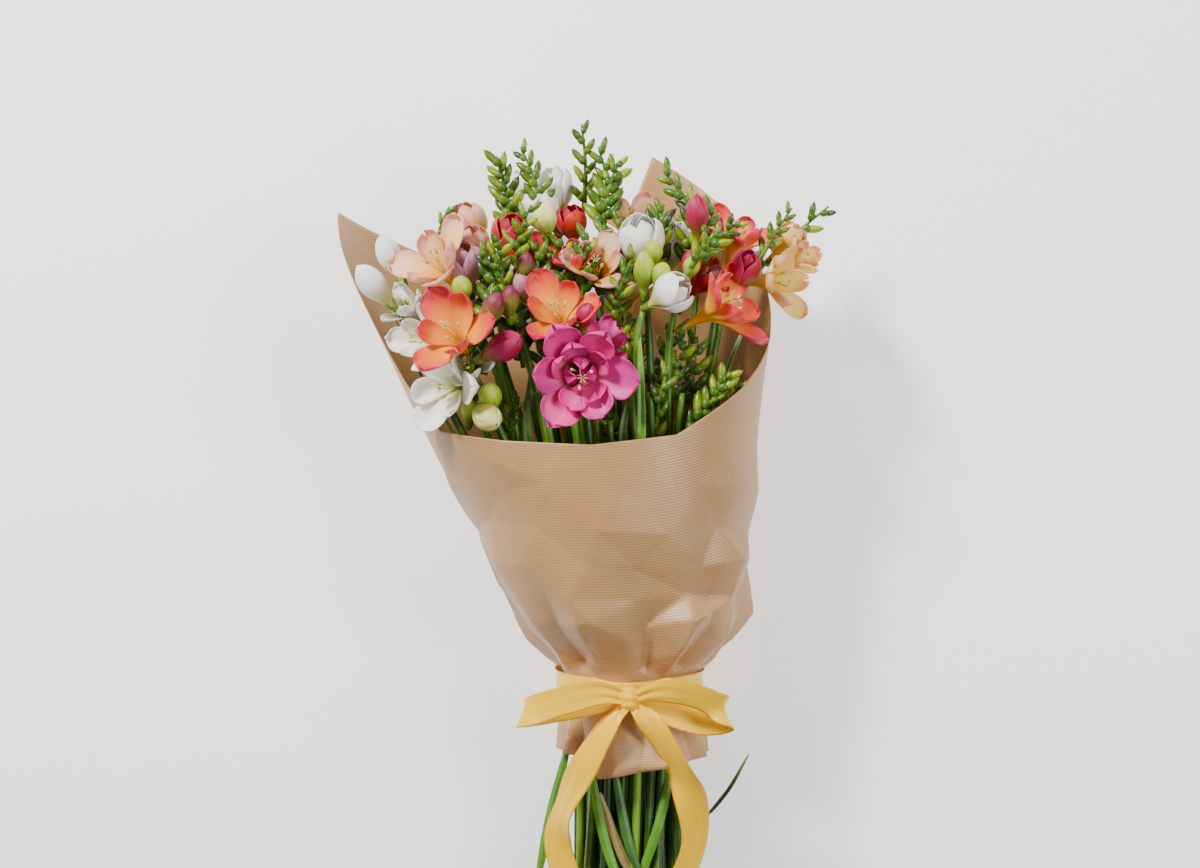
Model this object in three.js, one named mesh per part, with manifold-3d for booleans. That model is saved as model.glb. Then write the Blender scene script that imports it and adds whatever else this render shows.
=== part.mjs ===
// A tied bunch of mixed freesias in two overlapping sheets of kraft paper, with a satin ribbon bow.
// Millimetres, +Z up. The bunch lies on its back: +Y runs from the cut stems to the flowers, and its
// front faces up. Places are given from the tie, at X = 0 and Y = 0, with Z = 0 on the surface that
// the bunch lies on. The last lines move the whole to stand on the middle of its bounding box.
import * as THREE from "three";
import { mergeVertices } from "three/addons/utils/BufferGeometryUtils.js";
import Module from "manifold-3d";

const wasm = await Module();
wasm.setup();

// Driving dimensions
const STEM_RADIUS = 2.4;
const STEM_SIDES = 6;
const STEM_STEPS = 17;
const STATION_STEP = 19; // between the lengths at which stems are kept apart
const ROUNDS = 160;
const BUNDLE_RADIUS = 25; // stem centres at the tie
const BUNDLE_TWIST = 0.5; // turn of the bundle from the tie to the cut ends, in radians
const BUNDLE_SPREAD = 1.28; // width at the cut ends over width at the tie
const CUT_END_Y = -128;
const TIE_HEIGHT = 42; // centre of the tie above the surface
const CUT_END_HEIGHT = 38;
const PAPER_THICKNESS = 0.6;
const PAPER_GAP = 2.4; // between the two sheets where they overlap
const FLOOR_EASE = 7; // softens the bend where the paper meets the surface
const RIBBON_WIDTH = 15;
const RIBBON_THICKNESS = 0.6;
const FINEST = 0.03; // slivers smaller than this are removed where solids are joined
const CLEARANCE = 0.4; // between pieces that touch
const SEAT_CLEARANCE = 1.4; // between a bloom's foot and its stem
const STEM_CLEARANCE = 1.4; // between stems, and between stems and blooms
const PETAL_WALL = 1.1;
const LOBES = 6;
const GOLDEN_ANGLE = Math.PI * (3 - Math.sqrt(5));

const V = (x, y, z) => new THREE.Vector3(x, y, z);
const radians = (degrees) => (degrees * Math.PI) / 180;
const mix = THREE.MathUtils.lerp;

// Reads a value between listed stations: [[station, value], ...] in rising order.
function along(stations, at) {
  const next = stations.findIndex(([s]) => s > at);
  if (next === 0) return stations[0][1];
  if (next < 0) return stations.at(-1)[1];
  const [s0, v0] = stations[next - 1];
  const [s1, v1] = stations[next];
  return mix(v0, v1, (at - s0) / (s1 - s0));
}

// Materials
const colours = {
  paper: [0xc49a6c, 0.75],
  ribbon: [0xf2bd14, 0.35],
  stem: [0x4c7a26, 0.55],
  leaf: [0x3f6b24, 0.6],
  bud: [0x7fa52a, 0.5],
  coral: [0xf0604a, 0.55],
  pink: [0xe8459c, 0.55],
  magenta: [0xc21d55, 0.5],
  crimson: [0xc9203c, 0.5],
  peach: [0xf2c3a0, 0.55],
  white: [0xf5f2e6, 0.55],
  cream: [0xe6df8e, 0.55],
};
const materials = Object.fromEntries(
  Object.entries(colours).map(([name, [color, roughness]]) => [
    name,
    new THREE.MeshStandardMaterial({ color, roughness, metalness: 0 }),
  ]),
);

// Closed skin over rings of equal length, with a pole point at each end.
function ringSkin(start, rings, end) {
  const sides = rings[0].length;
  const points = [start, ...rings.flat(), end];
  const last = points.length - 1;
  const at = (ring, side) => 1 + ring * sides + (side % sides);
  const faces = [];
  for (let k = 0; k < sides; k++) {
    faces.push(0, at(0, k + 1), at(0, k));
    faces.push(last, at(rings.length - 1, k), at(rings.length - 1, k + 1));
    for (let r = 0; r + 1 < rings.length; r++) {
      faces.push(at(r, k), at(r, k + 1), at(r + 1, k));
      faces.push(at(r, k + 1), at(r + 1, k + 1), at(r + 1, k));
    }
  }
  const skin = new THREE.BufferGeometry().setFromPoints(points);
  skin.setIndex(faces);
  return skin;
}

// manifold-3d solid of a closed geometry, and the geometry of a solid.
function solidOf(geometry) {
  const bare = new THREE.BufferGeometry();
  bare.setAttribute("position", geometry.getAttribute("position"));
  bare.setIndex(geometry.index);
  const merged = mergeVertices(bare, 1e-4);
  const mesh = new wasm.Mesh({
    numProp: 3,
    vertProperties: new Float32Array(merged.attributes.position.array),
    triVerts: new Uint32Array(merged.index.array),
  });
  return new wasm.Manifold(mesh);
}
function geometryOf(solid) {
  const mesh = solid.simplify(FINEST).getMesh();
  const geometry = new THREE.BufferGeometry();
  geometry.setAttribute("position", new THREE.BufferAttribute(mesh.vertProperties, 3));
  geometry.setIndex(new THREE.BufferAttribute(mesh.triVerts, 1));
  return geometry;
}

// Tube of round section along a curve, closed at both ends.
function tube(curve, radius, sides, steps) {
  const section = new THREE.Shape();
  for (let k = 0; k <= sides; k++) {
    const turn = (2 * Math.PI * k) / sides;
    section[k ? "lineTo" : "moveTo"](radius * Math.cos(turn), radius * Math.sin(turn));
  }
  return new THREE.ExtrudeGeometry(section, { steps, extrudePath: curve });
}

// Strip of flat section: at each station a middle point, a direction across and one through.
function strip(stations, widthAt, thickness) {
  const rings = stations.map(({ middle, across, through }, k) => {
    const half = across.clone().setLength(widthAt(k / (stations.length - 1)) / 2);
    const deep = through.clone().setLength(thickness / 2);
    return [
      middle.clone().sub(half).sub(deep),
      middle.clone().add(half).sub(deep),
      middle.clone().add(half).add(deep),
      middle.clone().sub(half).add(deep),
    ];
  });
  const skin = ringSkin(stations[0].middle, rings, stations.at(-1).middle);
  return facingOut(skin);
}
function facingOut(skin) {
  if (solidOf(skin).volume() > 0) return skin;
  const index = skin.index.array;
  for (let k = 0; k < index.length; k += 3) {
    [index[k + 1], index[k + 2]] = [index[k + 2], index[k + 1]];
  }
  return skin;
}

// Flower forms, as rings from the tube's foot to the rim and back inside to the throat. Each ring is
// [radius in the valley, radius at the lobe, height in the valley, height at the lobe], as shares of
// the mouth's radius and of the length.
const forms = {
  open: {
    outside: [
      [0.07, 0.07, 0.04, 0.04],
      [0.11, 0.11, 0.32, 0.32],
      [0.27, 0.3, 0.6, 0.6],
      [0.56, 0.72, 0.8, 0.84],
      [0.66, 1.0, 0.87, 0.98],
    ],
    throat: [0.16, 0.56],
  },
  goblet: {
    outside: [
      [0.14, 0.14, 0.04, 0.04],
      [0.24, 0.24, 0.26, 0.26],
      [0.82, 0.84, 0.52, 0.52],
      [0.96, 1.0, 0.74, 0.76],
      [0.74, 0.8, 0.9, 1.0],
    ],
    throat: [0.3, 0.5],
  },
};
function openForm(form, radius, length) {
  const sides = 2 * LOBES;
  const ring = ([rv, rl, zv, zl], inset) =>
    Array.from({ length: sides }, (_, k) => {
      const turn = (Math.PI * k) / LOBES;
      const lobe = k % 2 === 0;
      const r = Math.max(0.6, (lobe ? rl : rv) * radius - inset);
      const z = (lobe ? zl : zv) * length;
      return V(r * Math.cos(turn), r * Math.sin(turn), z);
    });
  const { outside, throat } = forms[form];
  const rim = outside.at(-1);
  const rings = outside.map((r) => ring(r, 0));
  rings.push(ring(rim, PETAL_WALL));
  rings.push(ring([throat[0], throat[0], throat[1] + 0.1, throat[1] + 0.1], 0));
  return ringSkin(V(0, 0, 0), rings, V(0, 0, throat[1] * length));
}

// A closed bud: a spindle, as rings of [share of radius, share of length].
const LARGE_BUD = [[0.25, 0.05], [0.42, 0.28], [0.95, 0.55], [0.9, 0.78], [0.4, 0.96]];
const SMALL_BUD = [[0.5, 0.1], [1, 0.5], [0.5, 0.92]];
function budForm(radius, length, sides = 7, profile = LARGE_BUD) {
  const rings = profile.map(([r, z]) =>
    Array.from({ length: sides }, (_, k) => {
      const turn = (2 * Math.PI * k) / sides;
      return V(r * radius * Math.cos(turn), r * radius * Math.sin(turn), z * length);
    }),
  );
  return ringSkin(V(0, 0, 0), rings, V(0, 0, length));
}

// Blooms. Each has a form, a colour, the middle of its mouth or tip, the way it faces, its mouth's
// radius and its length from foot to mouth.
const bloom = (name, form, colour, tip, facing, radius, length) => ({
  name,
  form,
  colour,
  radius,
  length,
  tip: V(...tip),
  facing: V(...facing).normalize(),
});
const footOf = ({ tip, facing, length }) => tip.clone().addScaledVector(facing, -length);

// Sprays. Each is one cut stem: its blooms from the lowest up, and the comb of green buds that may end
// it, as [first point, bend point, last point, count of buds, largest bud's length].
const sprays = [
  {
    blooms: [
      bloom("pink_bloom_behind", "open", "pink", [-14, 181, 94], [0.2, 0.7, 0.7], 15, 30),
      bloom("pink_double_bloom", "open", "pink", [-25, 159, 118], [0.05, -0.2, 1], 27, 34),
    ],
  },
  {
    blooms: [
      bloom("magenta_bud", "bud", "magenta", [-55, 179, 114], [0.8, 0.4, 0.5], 8, 29),
      bloom("coral_bloom_left", "open", "coral", [-92, 186, 119], [-0.3, 0.42, 0.86], 24, 40),
      bloom("crimson_bud", "bud", "crimson", [-66, 201, 118], [0.3, 0.85, 0.45], 6, 23),
    ],
    comb: [[-70, 196, 86], [-72, 212, 92], [-62, 228, 106], 8, 12],
  },
  {
    blooms: [
      bloom("coral_bloom_middle", "open", "coral", [-38, 197, 112], [-0.15, 0.5, 0.86], 22, 36),
      bloom("dusty_pink_bloom", "goblet", "peach", [-54, 214, 94], [-0.1, 0.8, 0.6], 8, 24),
    ],
  },
  {
    blooms: [
      bloom("coral_bloom_right", "open", "coral", [55, 200, 104], [0.82, 0.42, 0.4], 24, 40),
    ],
    comb: [[27, 211, 95], [36, 227, 104], [56, 238, 106], 6, 9],
  },
  {
    blooms: [
      bloom("coral_bloom_top", "open", "coral", [57, 240, 68], [0.3, 0.85, 0.45], 19, 36),
      bloom("magenta_bud_top", "bud", "magenta", [33, 252, 87], [-0.05, 0.95, 0.3], 6.5, 28),
    ],
  },
  {
    blooms: [
      bloom("peach_bloom_left", "open", "peach", [-103, 224, 92], [-0.5, 0.6, 0.62], 23, 38),
      bloom("peach_goblet", "goblet", "peach", [-81, 236, 70], [0.02, 0.92, 0.38], 10, 32),
    ],
  },
  {
    blooms: [bloom("crimson_bloom", "goblet", "crimson", [-61, 240, 88], [0.08, 0.85, 0.5], 9.5, 30)],
    comb: [[-60, 232, 56], [-60, 250, 58], [-71, 271, 66], 9, 14],
  },
  {
    blooms: [
      bloom("coral_bloom_back", "open", "coral", [-42, 225, 78], [-0.1, 0.62, 0.78], 15, 32),
      bloom("crimson_bloom_back", "goblet", "crimson", [-31, 247, 63], [-0.1, 0.9, 0.42], 8, 24),
    ],
  },
  {
    blooms: [
      bloom("peach_bloom_middle", "open", "peach", [-18, 220, 97], [-0.05, 0.52, 0.84], 17, 33),
      bloom("pale_pink_bloom", "open", "peach", [0, 250, 46], [0.0, 0.85, 0.5], 18, 36),
    ],
    comb: [[-14, 234, 66], [-18, 250, 68], [-4, 270, 68], 9, 13],
  },
  {
    blooms: [
      bloom("white_goblet_front", "goblet", "white", [4, 239, 90], [-0.1, 0.86, 0.5], 12, 35),
      bloom("white_goblet_behind", "goblet", "white", [23, 238, 66], [0.15, 0.88, 0.4], 10.5, 32),
    ],
  },
  {
    blooms: [
      bloom("white_bud_right", "goblet", "white", [27, 205, 112], [0.8, 0.42, 0.42], 10.5, 27),
      bloom("green_bud_large", "bud", "bud", [6, 222, 108], [0, 0.93, 0.35], 5.8, 26),
    ],
  },
  {
    blooms: [
      bloom("white_goblet_top", "goblet", "white", [-40, 268, 50], [-0.05, 0.96, 0.25], 10, 34),
    ],
    comb: [[-24, 248, 46], [-19, 270, 66], [-28, 289, 74], 8, 10],
  },
  {
    blooms: [
      bloom("white_goblet_left", "goblet", "white", [-58, 267, 38], [0.0, 0.95, 0.3], 10, 32),
      bloom("peach_bloom_low", "goblet", "peach", [-88, 250, 38], [-0.3, 0.9, 0.3], 11, 32),
    ],
  },
  {
    blooms: [
      bloom("white_bud_outer", "bud", "white", [-138, 216, 84], [-0.6, 0.72, 0.33], 7.4, 31),
      bloom("white_bud_upper", "bud", "white", [-128, 232, 68], [-0.42, 0.85, 0.3], 6.8, 30),
    ],
  },
  {
    blooms: [
      bloom("white_bloom_low", "open", "white", [-97, 153, 106], [-0.55, -0.1, 0.84], 21, 34),
      bloom("cream_bud_low", "bud", "cream", [-67, 136, 108], [0.55, -0.4, 0.75], 7.5, 26),
      bloom("white_bloom_left", "open", "white", [-112, 180, 86], [-0.7, 0.1, 0.7], 17, 32),
    ],
  },
  {
    blooms: [
      bloom("peach_bloom_right", "open", "peach", [82, 209, 82], [0.86, 0.02, 0.5], 20, 33),
      bloom("yellow_pink_bloom", "goblet", "peach", [86, 238, 55], [0.6, 0.75, 0.3], 8.5, 26),
    ],
    comb: [[66, 224, 36], [84, 232, 38], [104, 250, 46], 8, 11],
  },
  {
    blooms: [bloom("coral_bloom_low", "open", "coral", [45, 239, 29.5], [0.28, 0.9, 0.12], 15, 32)],
    comb: [[38, 234, 52], [34, 250, 56], [14, 267, 62], 6, 11],
  },
  {
    blooms: [],
    comb: [[12, 128, 88], [14, 148, 92], [16, 168, 90], 8, 11],
  },
  {
    blooms: [],
    comb: [[28, 128, 80], [38, 144, 86], [52, 162, 90], 9, 11],
  },
];

// The paper: half-width, half-depth and centre of its section along the bunch.
const sectionWidth = [
  [-44, 38], [-20, 34.5], [-8, 33], [12, 34.5], [28, 46], [50, 57], [90, 71], [127, 82], [200, 104],
  [285, 132],
];
const sectionDepth = [[-44, 36], [-8, 32], [12, 33.5], [30, 44], [60, 52], [127, 61], [200, 65], [285, 69]];
const sectionX = [[-44, 0], [0, 0], [50, -2], [90, -11], [127, -20], [200, -33], [285, -49]];
const sectionZ = [[-44, 41], [0, 42], [50, 47], [127, 54], [285, 62]];

// A point of the paper's section at length y and turn (0 right, 90 front, 180 left, 270 back), out
// by an offset. The surface that the bunch lies on flattens the back, which goes no lower than lowest.
function paperPoint(y, turn, offset, lowest = 0) {
  const a = along(sectionWidth, y) + offset;
  const b = along(sectionDepth, y) + offset;
  const x = along(sectionX, y) + a * Math.cos(radians(turn));
  const z = along(sectionZ, y) + b * Math.sin(radians(turn));
  return V(x, y, lowest + easedFloor(z - lowest));
}
// Height above a floor, eased to nothing over FLOOR_EASE on either side of it.
function easedFloor(h) {
  if (Math.abs(h) >= FLOOR_EASE) return Math.max(0, h);
  return (h + FLOOR_EASE) ** 2 / (4 * FLOOR_EASE);
}

const outerOffset = PAPER_GAP + 2 * PAPER_THICKNESS;

// Rows of a sheet: its bottom edge, fixed lengths about the tie, then even steps to its rim.
const PAPER_ROWS = [null, -9, 12, 30, 52];
const rowShare = (j, nv) => (j - PAPER_ROWS.length + 1) / (nv - PAPER_ROWS.length + 1);

// The front sheet's end edge lies under the back sheet, which rises off the surface to pass over it.
const endEdge = [[-44, 246], [52, 248], [279, 297]];
function liftOverEdge(y, turn) {
  const share = (turn - along(endEdge, y) + 24) / 20;
  return (outerOffset - PAPER_THICKNESS) * THREE.MathUtils.smoothstep(share, 0, 1);
}

// A sheet: its two side edges as turns by share of its rows, its top and bottom edges as lengths by
// turn, and its outer face's offset, and how far it is lifted off the surface.
function sheet({ sideA, sideB, bottom, rim, offset, lift, cells: [nu, nv] }) {
  const rows = [];
  for (let j = 0; j <= nv; j++) {
    const v = j / nv;
    const outer = [];
    const inner = [];
    for (let i = 0; i <= nu; i++) {
      const turn = mix(along(sideA, v), along(sideB, v), i / nu);
      const low = PAPER_ROWS[j] ?? mix(PAPER_ROWS.at(-1), along(rim, turn), rowShare(j, nv));
      const y = j ? low : along(bottom, turn);
      outer.push(paperPoint(y, turn, offset, lift(y, turn)));
      inner.push(paperPoint(y, turn, offset - PAPER_THICKNESS, lift(y, turn) + PAPER_THICKNESS));
    }
    rows.push([...outer, ...inner.reverse()]);
  }
  // Each row is a closed loop round the sheet's edge, so the rows skin over as rings, and the first
  // and last rows close as flat strips. Both faces are cut along the same diagonals, so that the
  // wall between them stays even.
  const n = rows[0].length;
  const points = rows.flat();
  const faces = [];
  for (let j = 0; j < nv; j++) {
    for (let k = 0; k < n; k++) {
      const [a, b] = [j * n + k, j * n + ((k + 1) % n)];
      if (k <= nu) faces.push(a, b, a + n, b, b + n, a + n);
      else faces.push(a, b, b + n, a, b + n, a + n);
    }
  }
  for (let k = 0; k < nu; k++) {
    const [a, b, c, d] = [k, k + 1, n - 2 - k, n - 1 - k];
    const top = nv * n;
    faces.push(a, c, b, a, d, c);
    faces.push(top + a, top + b, top + c, top + a, top + c, top + d);
  }
  const skin = new THREE.BufferGeometry().setFromPoints(points);
  skin.setIndex(faces);
  return facingOut(skin);
}
const frontSheet = {
  sideA: [[0, 114], [0.11, 138], [0.22, 156], [0.33, 168], [0.45, 175], [0.7, 176], [1, 152]],
  sideB: [[0, -114], [4 / 9, -112], [1, -63]],
  bottom: [[-112, -22], [-20, -31], [60, -37], [114, -44], [180, -38]],
  rim: [
    [-112, 279], [-63, 279], [-50, 262], [-36, 243], [-15, 206], [0, 183], [10, 174], [30, 154],
    [60, 131], [90, 126], [120, 128], [152, 133], [180, 138],
  ],
  offset: outerOffset,
  lift: () => 0,
  cells: [24, 9],
};
const backSheet = {
  sideA: [[0, 128], [0.4, 124], [1, 128]],
  sideB: [[0, 262], [0.4, 268], [1, 292]],
  bottom: [[120, -34], [200, -30], [300, -24]],
  rim: [
    [120, 124], [152, 132], [165, 158], [180, 201], [192, 228], [203, 247], [225, 231], [250, 212],
    [270, 195], [300, 175],
  ],
  offset: PAPER_THICKNESS,
  lift: liftOverEdge,
  cells: [16, 9],
};

// The stems' places in the bundle: an even sunflower spread, turned and widened along the bunch.
const bundlePlaces = sprays.map((_, k) => {
  const r = BUNDLE_RADIUS * Math.sqrt((k + 0.4) / sprays.length);
  return [r * Math.cos(k * GOLDEN_ANGLE), r * Math.sin(k * GOLDEN_ANGLE)];
});
function bundlePoint([x, z], y) {
  const share = y / CUT_END_Y;
  const turn = BUNDLE_TWIST * share;
  const spread = 1 + (BUNDLE_SPREAD - 1) * Math.abs(share);
  const px = spread * (x * Math.cos(turn) - z * Math.sin(turn));
  const pz = spread * (x * Math.sin(turn) + z * Math.cos(turn));
  return V(px, y, mix(TIE_HEIGHT, CUT_END_HEIGHT, Math.max(0, share)) + pz);
}

// Each spray takes the free place whose direction from the tie suits its first bloom or bud best.
function assignPlaces() {
  const free = [...bundlePlaces];
  return sprays.map((spray) => {
    const goal = headOf(spray);
    const [gx, gz] = [(goal.x + 25) * 0.3, (goal.z - 58) * 0.45];
    free.sort((p, q) => Math.hypot(p[0] - gx, p[1] - gz) - Math.hypot(q[0] - gx, q[1] - gz));
    return free.shift();
  });
}
const seatOf = (b) => footOf(b).addScaledVector(b.facing, -(STEM_RADIUS + SEAT_CLEARANCE));
const headOf = ({ blooms, comb: c }) => (blooms.length ? seatOf(blooms[0]) : V(...c[0]));

// What a stem has to clear: balls along each bloom, each comb and the upper part of each stem.
function obstacles() {
  const balls = [];
  sprays.forEach((spray, owner) => {
    const add = (at, radius) => balls.push({ at, radius, owner });
    for (const b of spray.blooms) {
      for (const t of [0.1, 0.3, 0.5, 0.7, 0.9]) {
        const widest = b.form === "open" ? Math.max(0.12, 1.4 * t - 0.5) : Math.min(0.95, 0.2 + 1.4 * t);
        add(footOf(b).addScaledVector(b.facing, t * b.length), widest * b.radius);
      }
    }
    const upper = [...spray.blooms.map(seatOf), ...(spray.comb ? [V(...spray.comb[0])] : [])];
    upper.slice(1).forEach((p, k) => {
      for (const t of [0.2, 0.4, 0.6, 0.8, 1]) add(upper[k].clone().lerp(p, t), STEM_RADIUS);
    });
    if (spray.comb) {
      const [a, m, c] = spray.comb.slice(0, 3).map((q) => V(...q));
      const path = new THREE.QuadraticBezierCurve3(a, m, c);
      for (const t of [0.1, 0.3, 0.5, 0.7, 0.9]) add(path.getPoint(t), 0.5 * spray.comb[4]);
    }
  });
  for (const [points] of Object.values(leaves)) {
    const path = new THREE.CatmullRomCurve3(points.map((q) => V(...q)));
    for (let k = 0; k <= 20; k++) balls.push({ at: path.getPoint(k / 20), radius: 2, owner: -1 });
  }
  return balls;
}

// Stems as points at shared lengths along the bunch, from the cut end to just under the first bloom.
// Neighbours are moved apart sideways, and each stem is eased straight, until all clear each other.
function layStems() {
  const places = assignPlaces();
  const heads = sprays.map(headOf);
  const lines = heads.map((head, s) => {
    const line = [];
    for (let y = CUT_END_Y; y < head.y - 9; y += STATION_STEP) {
      const p = bundlePoint(places[s], Math.min(y, 20));
      const t = Math.max(0, (y - 20) / (head.y - 20));
      line.push(V(mix(p.x, head.x, t ** 1.15), y, mix(p.z, head.z, t ** 1.25)));
    }
    return [...line, head];
  });
  const balls = obstacles();
  const part = (p, q, least, share) => {
    const [dx, dz] = [p.x - q.x, p.z - q.z];
    const apart = Math.hypot(dx, dz, p.y - q.y);
    if (apart >= least) return;
    const push = (share * (least - apart)) / Math.max(0.01, Math.hypot(dx, dz));
    p.x += dx * push;
    p.z += dz * push;
  };
  const keepInside = (p) => {
    const [cx, cz] = [along(sectionX, p.y), along(sectionZ, p.y)];
    const margin = STEM_RADIUS + 2 * STEM_CLEARANCE;
    const [a, b] = [along(sectionWidth, p.y) - margin, along(sectionDepth, p.y) - margin];
    const out = Math.hypot((p.x - cx) / a, (p.z - cz) / b);
    if (out > 1) p.set(cx + (p.x - cx) / out, p.y, cz + (p.z - cz) / out);
    p.z = Math.max(p.z, STEM_RADIUS + PAPER_GAP + 3 * PAPER_THICKNESS + CLEARANCE);
  };
  const least = 2 * STEM_RADIUS + STEM_CLEARANCE;
  for (let round = 0; round < ROUNDS; round++) {
    lines.forEach((line, s) => {
      for (let k = 1; k + 1 < line.length; k++) {
        const [before, p, after] = [line[k - 1], line[k], line[k + 1]];
        const ease = (p.y > 20 ? 0.3 : 0.1) * (1 - round / ROUNDS);
        const t = (p.y - before.y) / (after.y - before.y);
        p.x = mix(p.x, mix(before.x, after.x, t), ease);
        p.z = mix(p.z, mix(before.z, after.z, t), ease);
      }
      for (let k = 0; k + 1 < line.length; k++) {
        lines.forEach((other, o) => {
          if (o !== s && k < other.length) part(line[k], other[k], least, 0.5);
        });
        for (const ball of balls) {
          if (ball.owner !== s) part(line[k], ball.at, STEM_RADIUS + STEM_CLEARANCE + ball.radius, 0.6);
        }
        if (line[k].y > -60) keepInside(line[k]);
      }
    });
  }
  return lines;
}

// The stem goes on past its first bloom to run just under each further bloom, and into its comb.
function stemCurve({ blooms, comb: c }, line) {
  const points = [...line, ...blooms.slice(1).map(seatOf)];
  if (c && blooms.length) points.push(V(...c[0]));
  return new THREE.CatmullRomCurve3(points, false, "centripetal");
}

// A comb of green buds: two ranks of buds on a bent stalk, smaller towards its tip.
const COMB_STALK_RADIUS = 1.1;
function comb([start, bend, end, count, largest]) {
  const [a, b, c] = [V(...start), V(...bend), V(...end)];
  const path = new THREE.QuadraticBezierCurve3(a, b, c);
  const flat = b.clone().sub(a).cross(c.clone().sub(b)).normalize();
  let solid = solidOf(tube(path, COMB_STALK_RADIUS, 5, 5));
  for (let k = 0; k < count; k++) {
    const t = (k + 0.5) / count;
    const length = mix(largest, 0.5 * largest, t);
    const tangent = path.getTangent(t);
    const out = flat.clone().applyAxisAngle(tangent, (k % 2 ? 1 : -1) * 1.1 + Math.PI / 2);
    const facing = tangent.clone().multiplyScalar(0.8).add(out.multiplyScalar(0.75)).normalize();
    const bud = budForm(0.24 * length, length, 4, SMALL_BUD);
    bud.applyQuaternion(new THREE.Quaternion().setFromUnitVectors(V(0, 0, 1), facing));
    const seat = path.getPoint(t);
    bud.translate(seat.x, seat.y, seat.z);
    solid = solid.add(solidOf(bud));
  }
  return solid;
}

// Ribbon: a band round the paper, and a bow of a knot, two loops and two tails just clear of the band.
function bandStations() {
  const count = 28;
  return Array.from({ length: count + 1 }, (_, k) => {
    const turn = 90 + (360 * k) / count;
    const rise = 5 * (1 - Math.sin(radians(turn))) * 0.5;
    const out = outerOffset + 2 * CLEARANCE + RIBBON_THICKNESS / 2;
    const [low, high] = [-1, 1].map((s) => paperPoint(rise + (s * RIBBON_WIDTH) / 2, turn, out));
    const through = V(Math.cos(radians(turn)), 0, Math.sin(radians(turn)));
    return { middle: low.clone().lerp(high, 0.5), across: high.clone().sub(low), through };
  });
}
function ribbonStations(points, acrossAt, count) {
  const curve = new THREE.CatmullRomCurve3(points.map((p) => V(...p)), false, "centripetal");
  return Array.from({ length: count + 1 }, (_, k) => {
    const t = k / count;
    const tangent = curve.getTangentAt(t);
    const across = acrossAt(t);
    across.addScaledVector(tangent, -across.dot(tangent)).normalize();
    return { middle: curve.getPointAt(t), across, through: tangent.clone().cross(across) };
  });
}
const KNOT = [-1, -2, 84];
const leftLoop = [
  [-2, -2, 86], [-20, 0, 91], [-42, -6, 92], [-54, -11, 86], [-46, -10, 79], [-22, -7, 80], [-2, -3, 82],
];
const rightLoop = [
  [1, -2, 86], [16, 0, 92], [36, -4, 93], [47, -9, 86], [38, -12, 78], [18, -8, 80], [1, -3, 82],
];
const leftTail = [KNOT, [-12, -18, 86], [-24, -38, 82], [-34, -58, 70], [-37, -78, 62], [-31, -104, 60]];
const rightTail = [KNOT, [10, -14, 86], [22, -32, 84], [31, -54, 74], [33, -76, 66], [22, -106, 64]];
const KNOT_WIDTH = 7; // the ribbon is gathered to this width in the knot
const loopShare = (t) => Math.max(0, Math.sin(Math.PI * t)) ** 0.5;
const tailShare = (t) => Math.min(1, 4 * t);
const turning = (from, to) => (t) => V(...from).lerp(V(...to), t);
function ribbonBand() {
  const ring = bandStations();
  const rings = ring.slice(0, -1).map(({ middle, across, through }) => {
    const half = across.clone().setLength(RIBBON_WIDTH / 2);
    const deep = through.clone().setLength(RIBBON_THICKNESS / 2);
    return [
      middle.clone().sub(half).sub(deep),
      middle.clone().add(half).sub(deep),
      middle.clone().add(half).add(deep),
      middle.clone().sub(half).add(deep),
    ];
  });
  const faces = [];
  rings.forEach((_, r) => {
    for (let k = 0; k < 4; k++) {
      const [a, b] = [r * 4 + k, r * 4 + ((k + 1) % 4)];
      const [c, d] = [((r + 1) % rings.length) * 4 + k, ((r + 1) % rings.length) * 4 + ((k + 1) % 4)];
      faces.push(a, b, c, b, d, c);
    }
  });
  const band = new THREE.BufferGeometry().setFromPoints(rings.flat());
  band.setIndex(faces);
  return facingOut(band);
}
function ribbonBow() {
  const knot = new THREE.SphereGeometry(1, 10, 7);
  knot.scale(7, 7.5, 4.5);
  knot.translate(KNOT[0], KNOT[1], KNOT[2] + 0.6);
  const solids = [solidOf(knot)];
  const pieces = [
    [leftLoop, turning([0.2, 1, 0], [0.15, 1, 0]), 14, loopShare],
    [rightLoop, turning([-0.2, 1, 0.2], [-0.1, 1, -0.2]), 14, loopShare],
    [leftTail, turning([1, 0.6, 0.1], [1, 0.1, 0.5]), 12, tailShare],
    [rightTail, turning([1, -0.5, 0.1], [1, 0.1, -0.5]), 12, tailShare],
  ];
  for (const [points, across, count, share] of pieces) {
    const widthAt = (t) => mix(KNOT_WIDTH, RIBBON_WIDTH, share(t));
    solids.push(solidOf(strip(ribbonStations(points, across, count), widthAt, RIBBON_THICKNESS)));
  }
  return geometryOf(solids.reduce((whole, s) => whole.add(s)));
}

// Leaves: long narrow blades that taper to a point.
const leaves = {
  leaf_left: [
    [[-24, -40, 28], [-20, 0, 30], [-66, 90, 44], [-104, 156, 58], [-122, 194, 62]],
    [0.2, 0, 1],
    6,
  ],
  leaf_cut_right: [[[30, -52, 28], [38, -68, 34], [50, -56, 42], [62, -34, 46]], [0.2, 0.2, 1], 5],
  leaf_cut_left: [[[-32, -30, 38], [-42, -70, 34], [-50, -112, 26]], [0.1, 0, 1], 5.5],
};
function leaf([points, across, width]) {
  const stations = ribbonStations(points, () => V(...across), 10);
  const taper = (t) => Math.sin(Math.PI * Math.min(1, 0.15 + 0.85 * t)) ** 0.7;
  return strip(stations, (t) => Math.max(0.7, width * taper(t)), 0.8);
}

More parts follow.
